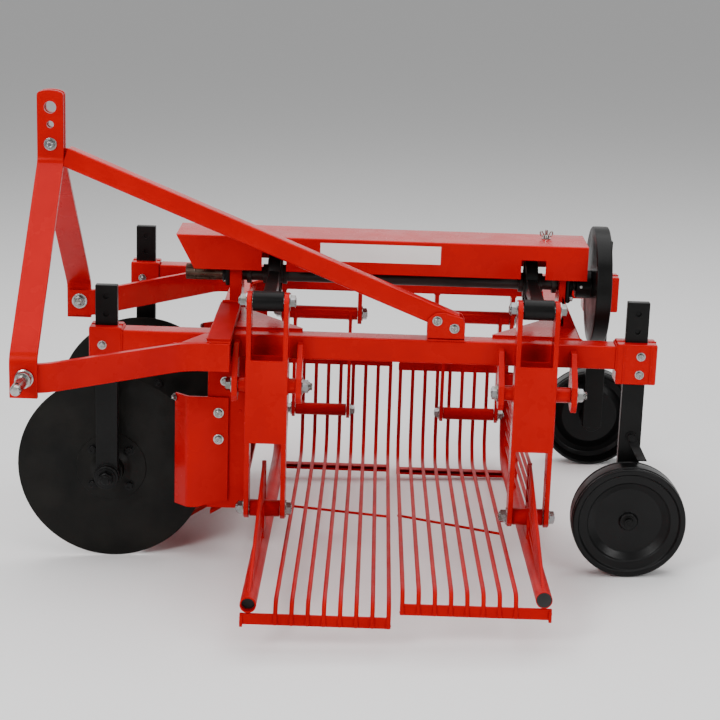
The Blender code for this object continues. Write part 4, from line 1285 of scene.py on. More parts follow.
@dataclass
class Drive:
    """Posts, bearings, sheet cover, shaft with eccentrics and flywheel."""

    kit: Kit
    cover: tuple[float, float, float] = (0.399, 1.275, 0.231)
    cover_low: float = 0.158
    cover_half: float = 0.069
    cover_sheet: float = 0.003
    front_post: tuple[float, float] = (0.512, 0.538)
    rear_post: tuple[float, float] = (1.220, 1.234)
    post_bore: float = 0.017
    rib_inner: float = 0.032
    spline: tuple[tuple[float, float], ...] = (
        (-0.26, 0.0140),
        (-0.23, 0.0172),
        (0.0, 0.0174),
        (0.23, 0.0172),
        (0.26, 0.0140),
        (0.52, 0.0140),
    )
    throw: float = 0.008
    eccentric_half: float = 0.016
    wheel_x: float = 1.290
    wheel_radius: float = 0.126
    wheel_width: float = 0.033

    def posts(self) -> None:
        """Build both bearing posts, the sloping foot of the front one and the bearings."""
        front = Solid()
        front.box(*self.front_post, L.shaft_y - L.post_half, L.shaft_y + L.post_half, L.beam, L.post_top, 0.0015)
        front.bore((0.48, L.shaft_y, L.shaft_z), (0.56, L.shaft_y, L.shaft_z), self.post_bore)
        foot = [(x, -0.080, z) for x in (0.486, 0.534) for z in (0.0502, 0.0585)]
        foot += [(x, L.shaft_y - 0.0405, z) for x in (0.495, 0.537) for z in (0.066, 0.082)]
        front.hull(foot, 0.0012, slot=1)
        front.weld([(0.486, -0.081, 0.0512), (0.534, -0.081, 0.0512)], 0.0024)
        front.weld([(0.497, 0.1585, 0.0825), (0.537, 0.1585, 0.0825)], 0.0030)
        front.weld([(0.4862, -0.076, 0.0565), (0.4952, 0.155, 0.0800)], 0.0018)
        for x in self.front_post:
            front.weld([(x, L.shaft_y - 0.039, L.beam + 0.001), (x, L.shaft_y + 0.039, L.beam + 0.001)])
        self.kit.emit("front_post_plate", front, [RED, ROD_RED], Body.MAIN, ["front_bearing_post"])
        rear = Solid()
        rear.box(*self.rear_post, L.shaft_y - L.post_half, L.shaft_y + L.post_half, L.beam, L.post_top, 0.0012)
        rear.bore((1.20, L.shaft_y, L.shaft_z), (1.25, L.shaft_y, L.shaft_z), self.post_bore)
        rib = [(1.2275, L.beam), (1.260, L.beam), (1.2275, 0.120)]
        for start, end in ((-L.post_half, -self.rib_inner), (self.rib_inner, L.post_half)):
            rear.prism(rib, Axis.Y, L.shaft_y + start, L.shaft_y + end, 0.0006)
        for x in self.rear_post:
            rear.weld([(x, L.shaft_y - 0.039, L.beam + 0.001), (x, L.shaft_y + 0.039, L.beam + 0.001)])
        self.kit.emit("rear_post_plate", rear, [RED], Body.MAIN, ["rear_bearing_post"])
        for name, x, side in (("front", 0.5117, -1.0), ("rear", 1.2343, 1.0)):
            unit = Solid()
            half = 0.036 if side > 0 else 0.024
            corners = [(L.shaft_y + a * half, L.shaft_z + b * half) for a, b in ((-1, -1), (1, -1), (1, 1), (-1, 1))]
            x0, x1 = sorted((x, x + side * 0.010))
            unit.prism(corners, Axis.X, x0, x1, 0.003, holes=(((L.shaft_y, L.shaft_z), 0.0165),))
            boss = 0.0310 if side > 0 else 0.0235
            profile = [(0.0165, 0.0), (boss, 0.0), (boss - 0.001, 0.014), (boss - 0.002, 0.0155), (0.0205, 0.0160),
                       (0.0200, 0.0170), (0.0165, 0.0170)]
            unit.lathe(profile, (x, L.shaft_y, L.shaft_z), (side, 0, 0), 48)
            self.kit.emit(name + "_bearing_unit", unit, BLACKED, Body.MAIN, [name + "_bearing"])
            bolts = Solid()
            for a in (-1, 1):
                for b in (-1, 1):
                    spot = (x + side * 0.010, L.shaft_y + a * (half - 0.010), L.shaft_z + b * (half - 0.010))
                    bolts.bolt(spot, (side, 0, 0), 0.008 if side > 0 else 0.005)
            self.kit.emit(name + "_bearing_bolts", bolts, PLATED, Body.MAIN)

    def sheet(self) -> None:
        """Build the folded cover, its blank label and its wing fastener."""
        x0, x1, top = self.cover
        low, half, thick = self.cover_low, self.cover_half, self.cover_sheet
        y0, y1 = L.shaft_y - half, L.shaft_y + half
        part = bmesh.new()
        bmesh.ops.create_cube(part, size=1.0)
        bmesh.ops.scale(part, vec=(x1 - x0, y1 - y0, top - low + 0.04), verts=part.verts)
        bmesh.ops.translate(part, vec=((x0 + x1) / 2, L.shaft_y, (top + low - 0.04) / 2), verts=part.verts)
        folds = [edge for edge in part.edges if all(abs(v.co.z - top) < 1e-6 for v in edge.verts)
                 and abs(edge.verts[0].co.y - edge.verts[1].co.y) < 1e-6]
        bmesh.ops.bevel(part, geom=folds, offset=0.004, offset_type="OFFSET", segments=4, profile=0.5, affect="EDGES",
                        clamp_overlap=True, material=-1)
        body = Solid().take(part)
        body.carve(Solid().box(x0 - 0.1, x1 + 0.1, y0 - 0.1, y1 + 0.1, low - 0.1, low, 0.0))
        body.carve(Solid().box(x0 - 0.1, x1 + 0.1, y0 + thick, y1 - thick, low - 0.1, top - thick, 0.0))
        slant = [(x0 - 0.02, top + 0.0375), (x0 - 0.02, low - 0.03), (x0 + 0.055, low - 0.03)]
        body.carve(Solid().prism(slant, Axis.Y, y0 - 0.05, y1 + 0.05, 0.0))
        for x in (L.left_rocker_x, L.right_rocker_x):
            body.carve(Solid().box(x - 0.026, x + 0.026, y0 - 0.05, L.shaft_y, low - 0.1, 0.199, 0.0))
        self.kit.emit("cover_sheet", body, [RED], Body.MAIN, ["shaft_cover"])
        label = Solid()
        label.box(0.706, 0.962, y0 - 0.0003, y0 + 0.001, 0.1835, 0.2225, 0.0)
        self.kit.emit("blank_label", label, [LABEL], Body.MAIN)
        wing = Solid()
        spot = Vector((1.191, 0.216, top))
        wing.washer(spot, (0, 0, 1), 0.009)
        wing.drum(spot, spot + Vector((0, 0, 0.020)), 0.0030)
        wing.drum(spot + Vector((0, 0, 0.0014)), spot + Vector((0, 0, 0.0090)), 0.0064, 0.0050)
        for side in (-1, 1):
            line = [spot + Vector((side * 0.003, 0, 0.004)), spot + Vector((side * 0.012, 0, 0.007)),
                    spot + Vector((side * 0.0135, 0, 0.015)), spot + Vector((side * 0.0105, 0, 0.0175)),
                    spot + Vector((side * 0.005, 0, 0.009))]
            wing.sweep(line, 0.0016, 8, bend=0.003)
        self.kit.emit("cover_wing_nut", wing, PLATED, Body.MAIN)

    def shaft(self) -> None:
        """Build the splined stub, shaft, eccentrics and flywheel."""
        solid = Solid()
        y, z = L.shaft_y, L.shaft_z
        outline = []
        for tooth in range(6):
            base = tooth * math.pi / 3
            for offset, radius in self.spline:
                outline.append((y + radius * math.cos(base + offset), z + radius * math.sin(base + offset)))
        solid.prism(outline, Axis.X, 0.4145, 0.480, 0.0004)
        face = [(0.0, 0.0), (0.0118, 0.0), (0.0135, 0.002), (0.0135, 0.003), (0.0, 0.003)]
        solid.lathe(face, (0.414, y, z), (1, 0, 0), 32)
        solid.drum((0.432, y, z), (0.436, y, z), 0.0160, bevel=0.001)
        solid.drum((0.478, y, z), (0.500, y, z), 0.0165, bevel=0.0015)
        solid.drum((0.497, y, z), (1.3228, y, z), 0.0150, slot=1)
        for x, sign in ((L.left_rocker_x, 1.0), (L.right_rocker_x, -1.0)):
            mid, half = z + sign * self.throw, self.eccentric_half
            solid.drum((x - half, y, mid), (x + half, y, mid), 0.026, steps=48, bevel=0.001, slot=1)
            for turn in (-1, 1):
                solid.drum((x + turn * half, y, z), (x + turn * 0.026, y, z), 0.021, steps=40, bevel=0.001, slot=1)
        for x in (0.547, 1.206):
            solid.drum((x, y, z), (x + 0.010, y, z), 0.0215, steps=40, bevel=0.001, slot=1)
        self.kit.emit("drive_shaft_turned", solid, [STEEL, SHAFT_BLACK], Body.SHAFT, ["drive_shaft"])
        wheel = Solid()
        radius, width = self.wheel_radius, self.wheel_width
        profile = [
            (0.0153, -0.032),
            (0.0285, -0.032),
            (0.0300, -0.0305),
            (0.0300, -0.002),
            (0.0310, 0.0),
            (0.1000, 0.0012),
            (0.1030, 0.0002),
            (0.1240, 0.0002),
            (0.1257, 0.0015),
            (radius, 0.003),
            (radius, width - 0.003),
            (0.1257, width - 0.0015),
            (0.1240, width - 0.0002),
            (0.1030, width - 0.0002),
            (0.1000, width - 0.0012),
            (0.0320, width - 0.0012),
            (0.0300, width - 0.0002),
            (0.0153, width - 0.0002),
        ]
        wheel.lathe(profile, (self.wheel_x, y, z), (1, 0, 0), 128)
        wheel.bore((1.268, y - 0.05, z), (1.268, y, z), 0.004)
        self.kit.emit("flywheel_casting", wheel, BLACKED, Body.SHAFT, ["flywheel"])
        bolts = Solid()
        bolts.washer((1.3229, y, z), (1, 0, 0), 0.0115)
        bolts.hexagon((1.3240, y, z), (1, 0, 0), 0.009, 0.006)
        bolts.drum((1.268, y - 0.031, z), (1.268, y - 0.022, z), 0.0035, steps=16)
        self.kit.emit("flywheel_bolt", bolts, PLATED, Body.SHAFT)

    def build(self) -> None:
        """Build every piece of the drive line."""
        self.posts()
        self.sheet()
        self.shaft()


# ---------------------------------------------------------------- shakers


@dataclass
class Rocker:
    """A rocker arm with its connecting rod and bolts."""

    kit: Kit
    side: Side
    x: float
    hangers: tuple[float, float]
    box_top: float
    box_low: float = -0.164
    half: float = 0.043
    plate: float = 0.010
    bush_bore: float = 0.0088
    eye_bore: float = 0.044

    def arm(self) -> None:
        """Build the two side plates, the boxed middle and the sleeve."""
        solid = Solid()
        y = L.rocker_y
        front, back = y - 0.026, y + 0.026
        outline = [
            (back, L.top_z + 0.002),
            (y + 0.019, L.top_z + 0.012),
            (y + 0.010, L.top_z + 0.018),
            (y - 0.010, L.top_z + 0.018),
            (y - 0.019, L.top_z + 0.012),
            (front, L.top_z + 0.002),
            (front, L.foot_z - 0.006),
            (y - 0.019, L.foot_z - 0.015),
            (y - 0.008, L.foot_z - 0.020),
            (y + 0.008, L.foot_z - 0.020),
            (y + 0.019, L.foot_z - 0.015),
            (back, L.foot_z - 0.006),
        ]
        for x0 in (self.x - self.half, self.x + self.half - self.plate):
            solid.prism(outline, Axis.X, x0, x0 + self.plate, 0.0012)
        solid.box(self.x - self.half - 0.0004, self.x + self.half + 0.0004, front - 0.001, front + 0.006,
                  self.box_low, self.box_top, 0.0012)
        solid.box(self.x - self.half + 0.009, self.x + self.half - 0.009, back - 0.008, back - 0.002,
                  self.box_low, self.box_top, 0.001)
        ends = (self.hangers[0] + 0.0128, self.hangers[1] - 0.0008)
        solid.drum((ends[0], y, L.pivot_z), (ends[1], y, L.pivot_z), L.sleeve_radius, steps=40)
        for x in (self.x - self.half, self.x + self.half):
            ring = [(x, y + 0.0165 * math.cos(a), L.pivot_z + 0.0165 * math.sin(a)) for a in
                    [2 * math.pi * step / 24 for step in range(25)]]
            solid.weld(ring, 0.0022)
        name = self.side + "_rocker_plates"
        body = Body(self.side + "_rocker")
        self.kit.emit(name, solid, [RED], body, [self.side + "_rocker_arm"])
        bolts = Solid()
        for z in (L.top_z, L.foot_z):
            bolts.drum((self.x - self.half, y, z), (self.x + self.half, y, z), L.shank_radius)
            bolts.nut((self.x - self.half, y, z), (-1, 0, 0), L.bolt, 0.003)
            bolts.bolt((self.x + self.half, y, z), (1, 0, 0), L.bolt)
        self.kit.emit(self.side + "_rocker_bolts", bolts, PLATED, body)

    def rod(self) -> None:
        """Build the connecting rod with its bush and the eye around the eccentric."""
        solid = Solid()
        y, z = L.rocker_y, L.top_z
        inner = self.half - self.plate - 0.002
        solid.lathe(sleeve_profile(self.bush_bore, 0.0210, inner), (self.x, y, z), (1, 0, 0), 48)
        bore = self.eye_bore
        points = [
            (self.x + a * w, py, pz + b * h)
            for py, pz, h, w in ((y + 0.004, z, 0.013, 0.0140), (L.shaft_y - bore - 0.004, L.shaft_z, 0.017, 0.0115))
            for a in (-1.0, 1.0)
            for b in (-1.0, 1.0)
        ]
        solid.hull(points, 0.002)
        solid.lathe(sleeve_profile(bore, bore + 0.008, 0.013), (self.x, L.shaft_y, L.shaft_z), (1, 0, 0), 64)
        ring = [(self.x + 0.010, y + 0.0215 * math.cos(a), z + 0.0215 * math.sin(a)) for a in
                [-0.7 + 1.4 * step / 10 for step in range(11)]]
        solid.weld(ring, 0.0022)
        body = Body(self.side + "_rod")
        self.kit.emit(self.side + "_rod_forging", solid, BLACKED, body, [self.side + "_connecting_rod"])

    def build(self) -> None:
        """Build the arm and the rod."""
        self.arm()
        self.rod()


@dataclass
class Sieve:
    """A shaken sieve of bent rods, with the link that hangs its far side."""

    kit: Kit
    side: Side
    base: float
    turn: float
    cross_rod: tuple[float, float]
    rods: int = 8
    first_u: float = 0.0524
    pitch: float = 0.0308
    rises: tuple[float, ...] = (0.040, 0.075, 0.105, 0.133, 0.160)
    reaches: tuple[float, ...] = (0.011, 0.029, 0.035, 0.037, 0.0395)
    tube_radius: float = 0.016
    tube_bore: float = 0.0132
    rod_radius: float = 0.0045
    fence_radius: float = 0.004
    floor_end: float = 0.272
    link_bars: tuple[float, float] = (0.026, 0.161)
    link_thick: float = 0.008
    play: float = 0.0008

    def tilt(self, y: float, z: float) -> float:
        """Raise or lower a point by this sieve's own pitch."""
        return z - self.turn * 0.0164 * (0.450 - y)

    def line(self, x: float, profile: Sequence[Point]) -> list[tuple[float, float, float]]:
        """Place a profile of y and z at one x."""
        return [(x, y, self.tilt(y, z)) for y, z in profile]

    def at(self, u: float) -> float:
        """Distance rearward of a place that is u inward from the side tube."""
        return self.base + self.turn * u

    def tube_z(self, y: float) -> float:
        """Height of the side tube's centre."""
        return -0.350 + (y + 0.455) * (-0.066 / 1.045)

    def body(self) -> None:
        """Build the side tube, floor rods, bars, fence and brackets."""
        solid = Solid()
        tube = [(-0.455, -0.350), (0.590, -0.4160), (0.640, -0.411), (0.686, -0.388), (0.715, -0.345), (0.727, -0.205)]
        solid.sweep(self.line(self.base, tube), self.tube_radius, 32, bend=0.02, inner=self.tube_bore)
        rod = [(-0.4555, -0.388), (-0.4540, -0.366), (-0.440, -0.3485), (-0.415, -0.3472), (0.640, -0.4235),
               (0.670, -0.4205), (0.712, -0.385), (0.726, -0.200)]
        xs = [self.at(self.first_u + self.pitch * index) for index in range(self.rods)]
        for x in xs:
            solid.sweep(self.line(x, rod), self.rod_radius, 12, bend=0.014)
            z = self.tilt(-0.4555, -0.384)
            solid.weld([(x - 0.005, -0.4485, z - 0.002), (x + 0.005, -0.4485, z - 0.002)], 0.0018)
            solid.weld([(x - 0.004, 0.7235, self.tilt(0.726, height)) for height in (-0.205, -0.188)], 0.0016)
        end = self.at(self.floor_end)
        x0, x1 = sorted((self.base - self.turn * self.tube_radius, end))
        z = self.tilt(-0.45, -0.378)
        solid.box(x0, x1, -0.4545, -0.4485, z - 0.012, z + 0.010, 0.001)
        x0, x1 = sorted((self.base - self.turn * self.tube_radius, self.base - self.turn * 0.010))
        solid.box(x0, x1, -0.4585, -0.4485, z - 0.016, z + 0.006, 0.001)
        x0, x1 = sorted((self.base, end))
        z = self.tilt(0.60, -0.4275)
        solid.box(x0, x1, 0.588, 0.612, z - 0.003, z + 0.004, 0.001)
        solid.box(x0, x1, 0.588, 0.594, z - 0.008, z + 0.004, 0.001)
        z = self.tilt(0.726, -0.195)
        solid.box(x0, x1, 0.7235, 0.7295, z - 0.011, z + 0.011, 0.001)
        ya, yb = self.cross_rod
        za = self.tilt(ya, -0.347 - (ya + 0.42) * 0.0723) - 0.006
        zb = self.tilt(yb, -0.347 - (yb + 0.42) * 0.0723) - 0.006
        solid.sweep([(xs[0] - self.turn * 0.004, ya, za), (xs[-1] + self.turn * 0.004, yb, zb)], 0.003, 10)
        for rise, reach in zip(self.rises, self.reaches):
            track = [(-0.440, self.tube_z(-0.440) + 0.008), (0.0, self.tube_z(0.0) + rise)]
            if self.turn < 0:
                far_y = L.link_y + reach
                track.append((far_y, self.tube_z(far_y) + rise))
            solid.sweep(self.line(self.base, track), self.fence_radius, 12, bend=0.03)
        for y in (0.0, 0.36) if self.turn < 0 else (0.0,):
            z = self.tube_z(y)
            solid.sweep(self.line(self.base, [(y, z), (y, z + self.rises[-1] + 0.002)]), 0.005, 12)
        self.brackets(solid)
        name = self.side + "_sieve_rods"
        body = Body(self.side + "_sieve_frame")
        self.kit.emit(name, solid, [ROD_RED], body, [self.side + "_sieve"])
        extras = Solid()
        if self.turn < 0:
            mouth = self.tilt(-0.455, -0.350)
            plug = [(0.0, -0.0015), (0.0120, -0.0012), (0.0150, 0.0002), (0.0150, 0.0012), (0.0130, 0.002),
                    (0.0130, 0.010), (0.0, 0.010)]
            extras.lathe(plug, (self.base, -0.455, mouth), (0, 1, -0.063), 40)
        else:
            mouth = self.tilt(-0.440, self.tube_z(-0.440))
            extras.drum((self.base, -0.440, mouth), (self.base, -0.436, mouth), 0.0130, bevel=0.0)
        self.kit.emit(self.side + "_sieve_plug", extras, [PLUG], body)
        pins = Solid()
        inner, outer = self.link_bars[0], self.link_bars[1] + self.link_thick
        ends = (self.at(0.017), self.at(outer))
        pins.drum((ends[0], L.link_y, L.link_foot_z), (ends[1], L.link_y, L.link_foot_z), L.shank_radius)
        pins.nut((self.at(inner - self.play), L.link_y, L.link_foot_z), (-self.turn, 0, 0), 0.014, 0.003)
        pins.bolt((self.at(outer + self.play), L.link_y, L.link_foot_z), (self.turn, 0, 0), 0.014)
        self.kit.emit(self.side + "_sieve_pin", pins, PLATED, body)

    def brackets(self, solid: Solid) -> None:
        """Add the plate to the rocker bolt and the sleeve to the link's pin.

        Args:
            solid: Solid that takes them.
        """
        y = L.rocker_y
        floor = self.tilt(y, self.tube_z(y))
        outline = [
            (y + 0.024, L.foot_z - 0.010),
            (y + 0.018, L.foot_z + 0.012),
            (y + 0.008, L.foot_z + 0.018),
            (y - 0.008, L.foot_z + 0.018),
            (y - 0.018, L.foot_z + 0.012),
            (y - 0.024, L.foot_z - 0.010),
            (y - 0.040, floor),
            (y + 0.040, floor),
        ]
        solid.prism(outline, Axis.X, self.base - 0.006, self.base + 0.006, 0.001)
        for x in (self.base - 0.006, self.base + 0.006):
            solid.weld([(x, y - 0.036, floor + 0.0155), (x, y + 0.036, floor + 0.0135)], 0.0022)
        middle = L.left_rocker_x if self.turn > 0 else L.right_rocker_x
        solid.lathe(sleeve_profile(0.0088, 0.0175, 0.0315), (middle, y, L.foot_z), (1, 0, 0), 40)
        ends = (self.at(0.035), self.at(0.160))
        solid.drum((ends[0], L.link_y, L.link_foot_z), (ends[1], L.link_y, L.link_foot_z), 0.015, steps=40)
        for index in (0, 3):
            x = self.at(self.first_u + self.pitch * index)
            solid.box(x - 0.004, x + 0.004, L.link_y, 0.7186, L.link_foot_z - 0.012, L.link_foot_z + 0.012, 0.001)

    def link(self) -> None:
        """Build the far link: a sleeve and two flat bars."""
        solid = Solid()
        y = L.link_y
        ends = sorted((self.at(0.0078), self.at(0.1812)))
        solid.drum((ends[0], y, L.link_top_z), (ends[1], y, L.link_top_z), L.sleeve_radius, steps=40)
        outline = [
            (y + 0.018, L.link_top_z + 0.006),
            (y + 0.008, L.link_top_z + 0.013),
            (y - 0.008, L.link_top_z + 0.013),
            (y - 0.018, L.link_top_z + 0.006),
            (y - 0.018, L.link_foot_z - 0.008),
            (y - 0.008, L.link_foot_z - 0.019),
            (y + 0.008, L.link_foot_z - 0.019),
            (y + 0.018, L.link_foot_z - 0.008),
        ]
        bead = ((-0.015, 0.010), (0.0, 0.0165), (0.015, 0.010))
        for u in self.link_bars:
            x0, x1 = sorted((self.at(u), self.at(u + self.link_thick)))
            solid.prism(outline, Axis.X, x0, x1, 0.001, holes=(((y, L.link_foot_z), 0.0095),))
            for x in (x0, x1):
                solid.weld([(x, y + across, L.link_top_z - drop) for across, drop in bead], 0.002)
        self.kit.emit(self.side + "_link_bars", solid, [RED], Body(self.side + "_link"), [self.side + "_far_link"])

    def build(self) -> None:
        """Build the sieve and its link."""
        self.body()
        self.link()


# ---------------------------------------------------------------- discs and wheels


@dataclass
class Corner:
    """A stem in its clamp with the disc or wheel at its foot, on one side of the machine."""

    kit: Kit
    side: Side
    stem_thick: float = 0.020
    stem_width: float = 0.046
    socket: tuple[float, float] = (0.0233, 0.0103)
    clamp_z: tuple[float, float] = (-0.030, 0.056)
    clamp_y: tuple[float, float] = (-0.004, 0.054)

    @property
    def is_far(self) -> bool:
        """Whether this is the side away from the sieves' mouths."""
        return self.side is Side.FAR

    def y(self, near: float) -> float:
        """Place across, given in near-side terms."""
        return L.far(near) if self.is_far else near

    @property
    def out(self) -> float:
        """Direction across that points out of the machine."""
        return 1.0 if self.is_far else -1.0

    def stem(self, solid: Solid, x: float, low: float) -> None:
        """Add the flat upright with its two adjusting holes.

        Args:
            solid: Solid that takes it.
            x: Its middle along the machine.
            low: Its foot.
        """
        y0, y1 = sorted((self.y(L.stem_y - self.stem_thick / 2), self.y(L.stem_y + self.stem_thick / 2)))
        x0, x1 = x - self.stem_width / 2, x + self.stem_width / 2
        outline = [(x0, low), (x1, low), (x1, L.stem_top), (x0, L.stem_top)]
        holes = (((x, 0.118), 0.0065), ((x, 0.080), 0.0065))
        solid.prism(outline, Axis.Y, y0, y1, 0.0016, holes=holes)
        middle = (y0 + y1) / 2
        for (hole_x, hole_z), radius in holes:
            ends = ((hole_x, middle - 0.005, hole_z), (hole_x, middle + 0.005, hole_z))
            solid.drum(*ends, radius + 0.001, steps=28, bevel=0.0)

    def axle(self, solid: Solid, x: float, z: float, spans: Sequence[tuple[float, float, float]]) -> None:
        """Add the boss, the collar and the stub axle at a stem's foot.

        Args:
            solid: Solid that takes them.
            x: The axle's place along the machine.
            z: Its height.
            spans: Start, end and radius of each of the three, in near-side terms.
        """
        for (start, end, radius), (steps, bevel) in zip(spans, ((48, 0.0015), (40, 0.0008), (32, 0.0008))):
            solid.drum((x, self.y(start), z), (x, self.y(end), z), radius, steps=steps, bevel=bevel)

    def clamp(self, name: str, x: float, reach: float, bolts: Sequence[tuple[float, float]]) -> None:
        """Build the box socket, its folded cheeks and its bolts.

        Args:
            name: "disc" or "wheel".
            x: The stem's middle along the machine.
            reach: Half of the box's length.
            bolts: Places of its bolts, along the machine and in height.
        """
        whole = self.side + "_" + name + "_clamp"
        face, back = self.y(self.clamp_y[0]), self.y(self.clamp_y[1])
        half, gap = self.socket
        solid = Solid()
        solid.box(x - reach, x + reach, *sorted((face, back)), *self.clamp_z, 0.0035, 3)
        cut = sorted((self.y(L.stem_y - gap), self.y(L.stem_y + gap)))
        solid.carve(Solid().box(x - half, x + half, cut[0], cut[1], -0.1, 0.2, 0.0))
        rib = sorted((face, face + self.out * 0.0022))
        if reach > 0.04:
            for low, high in ((x - reach + 0.013, x - reach + 0.017), (x + reach - 0.015, x + reach - 0.011)):
                solid.box(low, high, rib[0], rib[1], -0.027, 0.053, 0.001)
        for z in self.clamp_z:
            for a, b in ((x - reach, x - half), (x + half, x + reach)):
                mid = self.y(L.stem_y)
                solid.weld([(a + 0.002, mid, z), (b, mid, z)], 0.0018)
        self.kit.emit(whole + "_box", solid, [RED], Body.MAIN, [whole])
        screws = Solid()
        for bx, bz in bolts:
            screws.bolt((bx, face, bz), (0, self.out, 0), 0.0082)
            screws.nut((bx, back, bz), (0, -self.out, 0), 0.0082, 0.002)
        self.kit.emit(whole + "_bolts", screws, PLATED, Body.MAIN)

    def disc(self) -> None:
        """Build the disc, its hub, its stem and its clamp."""
        y = self.y(L.disc_y)
        centre = (L.disc_x, y, L.disc_z)
        way = (0.0, -self.out, 0.0)
        r = L.disc_radius
        solid = Solid()
        profile = [
            (0.0, 0.0030),
            (0.150, 0.0030),
            (0.186, 0.0030),
            (r - 0.001, 0.0006),
            (r, 0.0),
            (r - 0.001, -0.0006),
            (0.187, -0.0020),
            (0.150, -0.0020),
            (0.076, -0.0020),
            (0.0755, -0.0024),
            (0.0755, -0.0046),
            (0.0748, -0.0053),
            (0.0640, -0.0060),
            (0.0480, -0.0064),
            (0.0400, -0.0110),
            (0.0345, -0.0145),
            (0.0302, -0.0165),
            (0.0300, -0.0425),
            (0.0288, -0.0437),
            (0.0135, -0.0438),
            (0.0130, -0.0040),
            (0.0, -0.0040),
        ]
        solid.lathe(profile, centre, way, 128)
        body = Body("front_" + self.side + "_disc")
        self.kit.emit(self.side + "_disc_plate", solid, [DISC_BLACK], body, [self.side + "_disc"])
        bolts = Solid()
        for index in range(4):
            angle = math.pi / 4 + index * math.pi / 2
            spot = (L.disc_x + 0.056 * math.cos(angle), y + self.out * 0.0060, L.disc_z + 0.056 * math.sin(angle))
            bolts.bolt(spot, (0, self.out, 0), 0.010)
            back = (spot[0], y - self.out * 0.0030, spot[2])
            bolts.nut(back, (0, -self.out, 0), 0.010, 0.002)
        self.kit.emit(self.side + "_disc_bolts", bolts, BLACKED, body)
        stem = Solid()
        self.stem(stem, L.disc_x, L.disc_z - 0.002)
        spans = ((0.004, 0.036, 0.026), (0.030, 0.0398, 0.020), (0.030, L.disc_y - 0.0055, 0.012))
        self.axle(stem, L.disc_x, L.disc_z, spans)
        round_foot = [(L.disc_x + 0.0262 * math.cos(a), self.y(0.0145), L.disc_z + 0.0262 * math.sin(a)) for a in
                      [math.pi * step / 20 for step in range(21)]]
        stem.weld(round_foot, 0.002)
        self.kit.emit(self.side + "_disc_stem_bar", stem, BLACKED, Body.MAIN, [self.side + "_disc_stem"])
        nut = Solid()
        nut.nut((L.disc_x, self.y(0.004), L.disc_z), (0, self.out, 0), 0.018, 0.002)
        self.kit.emit(self.side + "_disc_axle_nut", nut, BLACKED, Body.MAIN)
        self.clamp("disc", L.disc_x, 0.034, ((L.disc_x - 0.006, 0.018),))

    def wheel(self) -> None:
        """Build the gauge wheel, its stem with scraper and its clamp."""
        y = self.y(L.wheel_y)
        centre = (L.wheel_x, y, L.wheel_z)
        way = (0.0, -self.out, 0.0)
        r = L.wheel_radius
        corners = [
            (0.0108, -0.0195),
            (0.0180, -0.0195),
            (0.0200, -0.0120),
            (0.0700, -0.0115),
            (0.0850, -0.0200),
            (0.0880, -0.0235),
            (0.1040, -0.0245),
            (0.1075, -0.0300),
            (0.1160, -0.0308),
            (0.1185, -0.0290),
            (0.1195, -0.0240),
            (0.1160, -0.0215),
            (0.1160, -0.0185),
            (0.1198, -0.0160),
            (r, 0.0),
            (0.1198, 0.0160),
            (0.1160, 0.0185),
            (0.1160, 0.0215),
            (0.1195, 0.0240),
            (0.1185, 0.0290),
            (0.1160, 0.0308),
            (0.1120, 0.0308),
            (0.1095, -0.0090),
            (0.1000, -0.0160),
            (0.0860, -0.0140),
            (0.0680, -0.0050),
            (0.0240, -0.0050),
            (0.0220, 0.0178),
            (0.0108, 0.0178),
        ]
        solid = Solid().lathe([tuple(point) for point in fillet(corners, 0.0016, 2)], centre, way, 128)
        body = Body("rear_" + self.side + "_wheel")
        self.kit.emit(self.side + "_wheel_casting", solid, [WHEEL_BLACK], body, [self.side + "_wheel"])
        stem = Solid()
        self.stem(stem, L.wheel_x, L.wheel_z - 0.012)
        z = L.wheel_z
        self.axle(stem, L.wheel_x, z, ((0.034, 0.014, 0.023), (0.020, -0.011, 0.016), (0.020, -0.0495, 0.010)))
        top = z + L.wheel_radius + 0.046
        tread = z + L.wheel_radius + 0.0068
        blade = [(self.y(0.0142), top + 0.010), (self.y(0.0142), top - 0.006), (self.y(0.007), top - 0.019),
                 (self.y(-0.006), tread + 0.007), (self.y(-0.022), tread)]
        scraper = Solid().strip(blade, Axis.X, L.wheel_x - 0.008, L.wheel_x + 0.012, 0.003, 0.008, 0.0008)
        for vert in scraper.bm.verts:
            vert.co.x += max(0.0, top - vert.co.z) * 0.55
        stem.join(scraper)
        stem.bolt((L.wheel_x + 0.002, self.y(0.0128), top + 0.001), (0, self.out, 0), 0.010)
        self.kit.emit(self.side + "_wheel_stem_bar", stem, BLACKED, Body.MAIN, [self.side + "_wheel_stem"])
        nut = Solid()
        nut.bolt((L.wheel_x, self.y(-0.0497), z), (0, self.out, 0), 0.0115)
        self.kit.emit(self.side + "_wheel_axle_bolt", nut, BLACKED, Body.MAIN)
        self.clamp("wheel", L.wheel_x, 0.042, ((L.wheel_x + 0.008, 0.031), (L.wheel_x + 0.007, -0.008)))

    def build(self) -> None:
        """Build the disc and the wheel of this side."""
        self.disc()
        self.wheel()


# ---------------------------------------------------------------- share


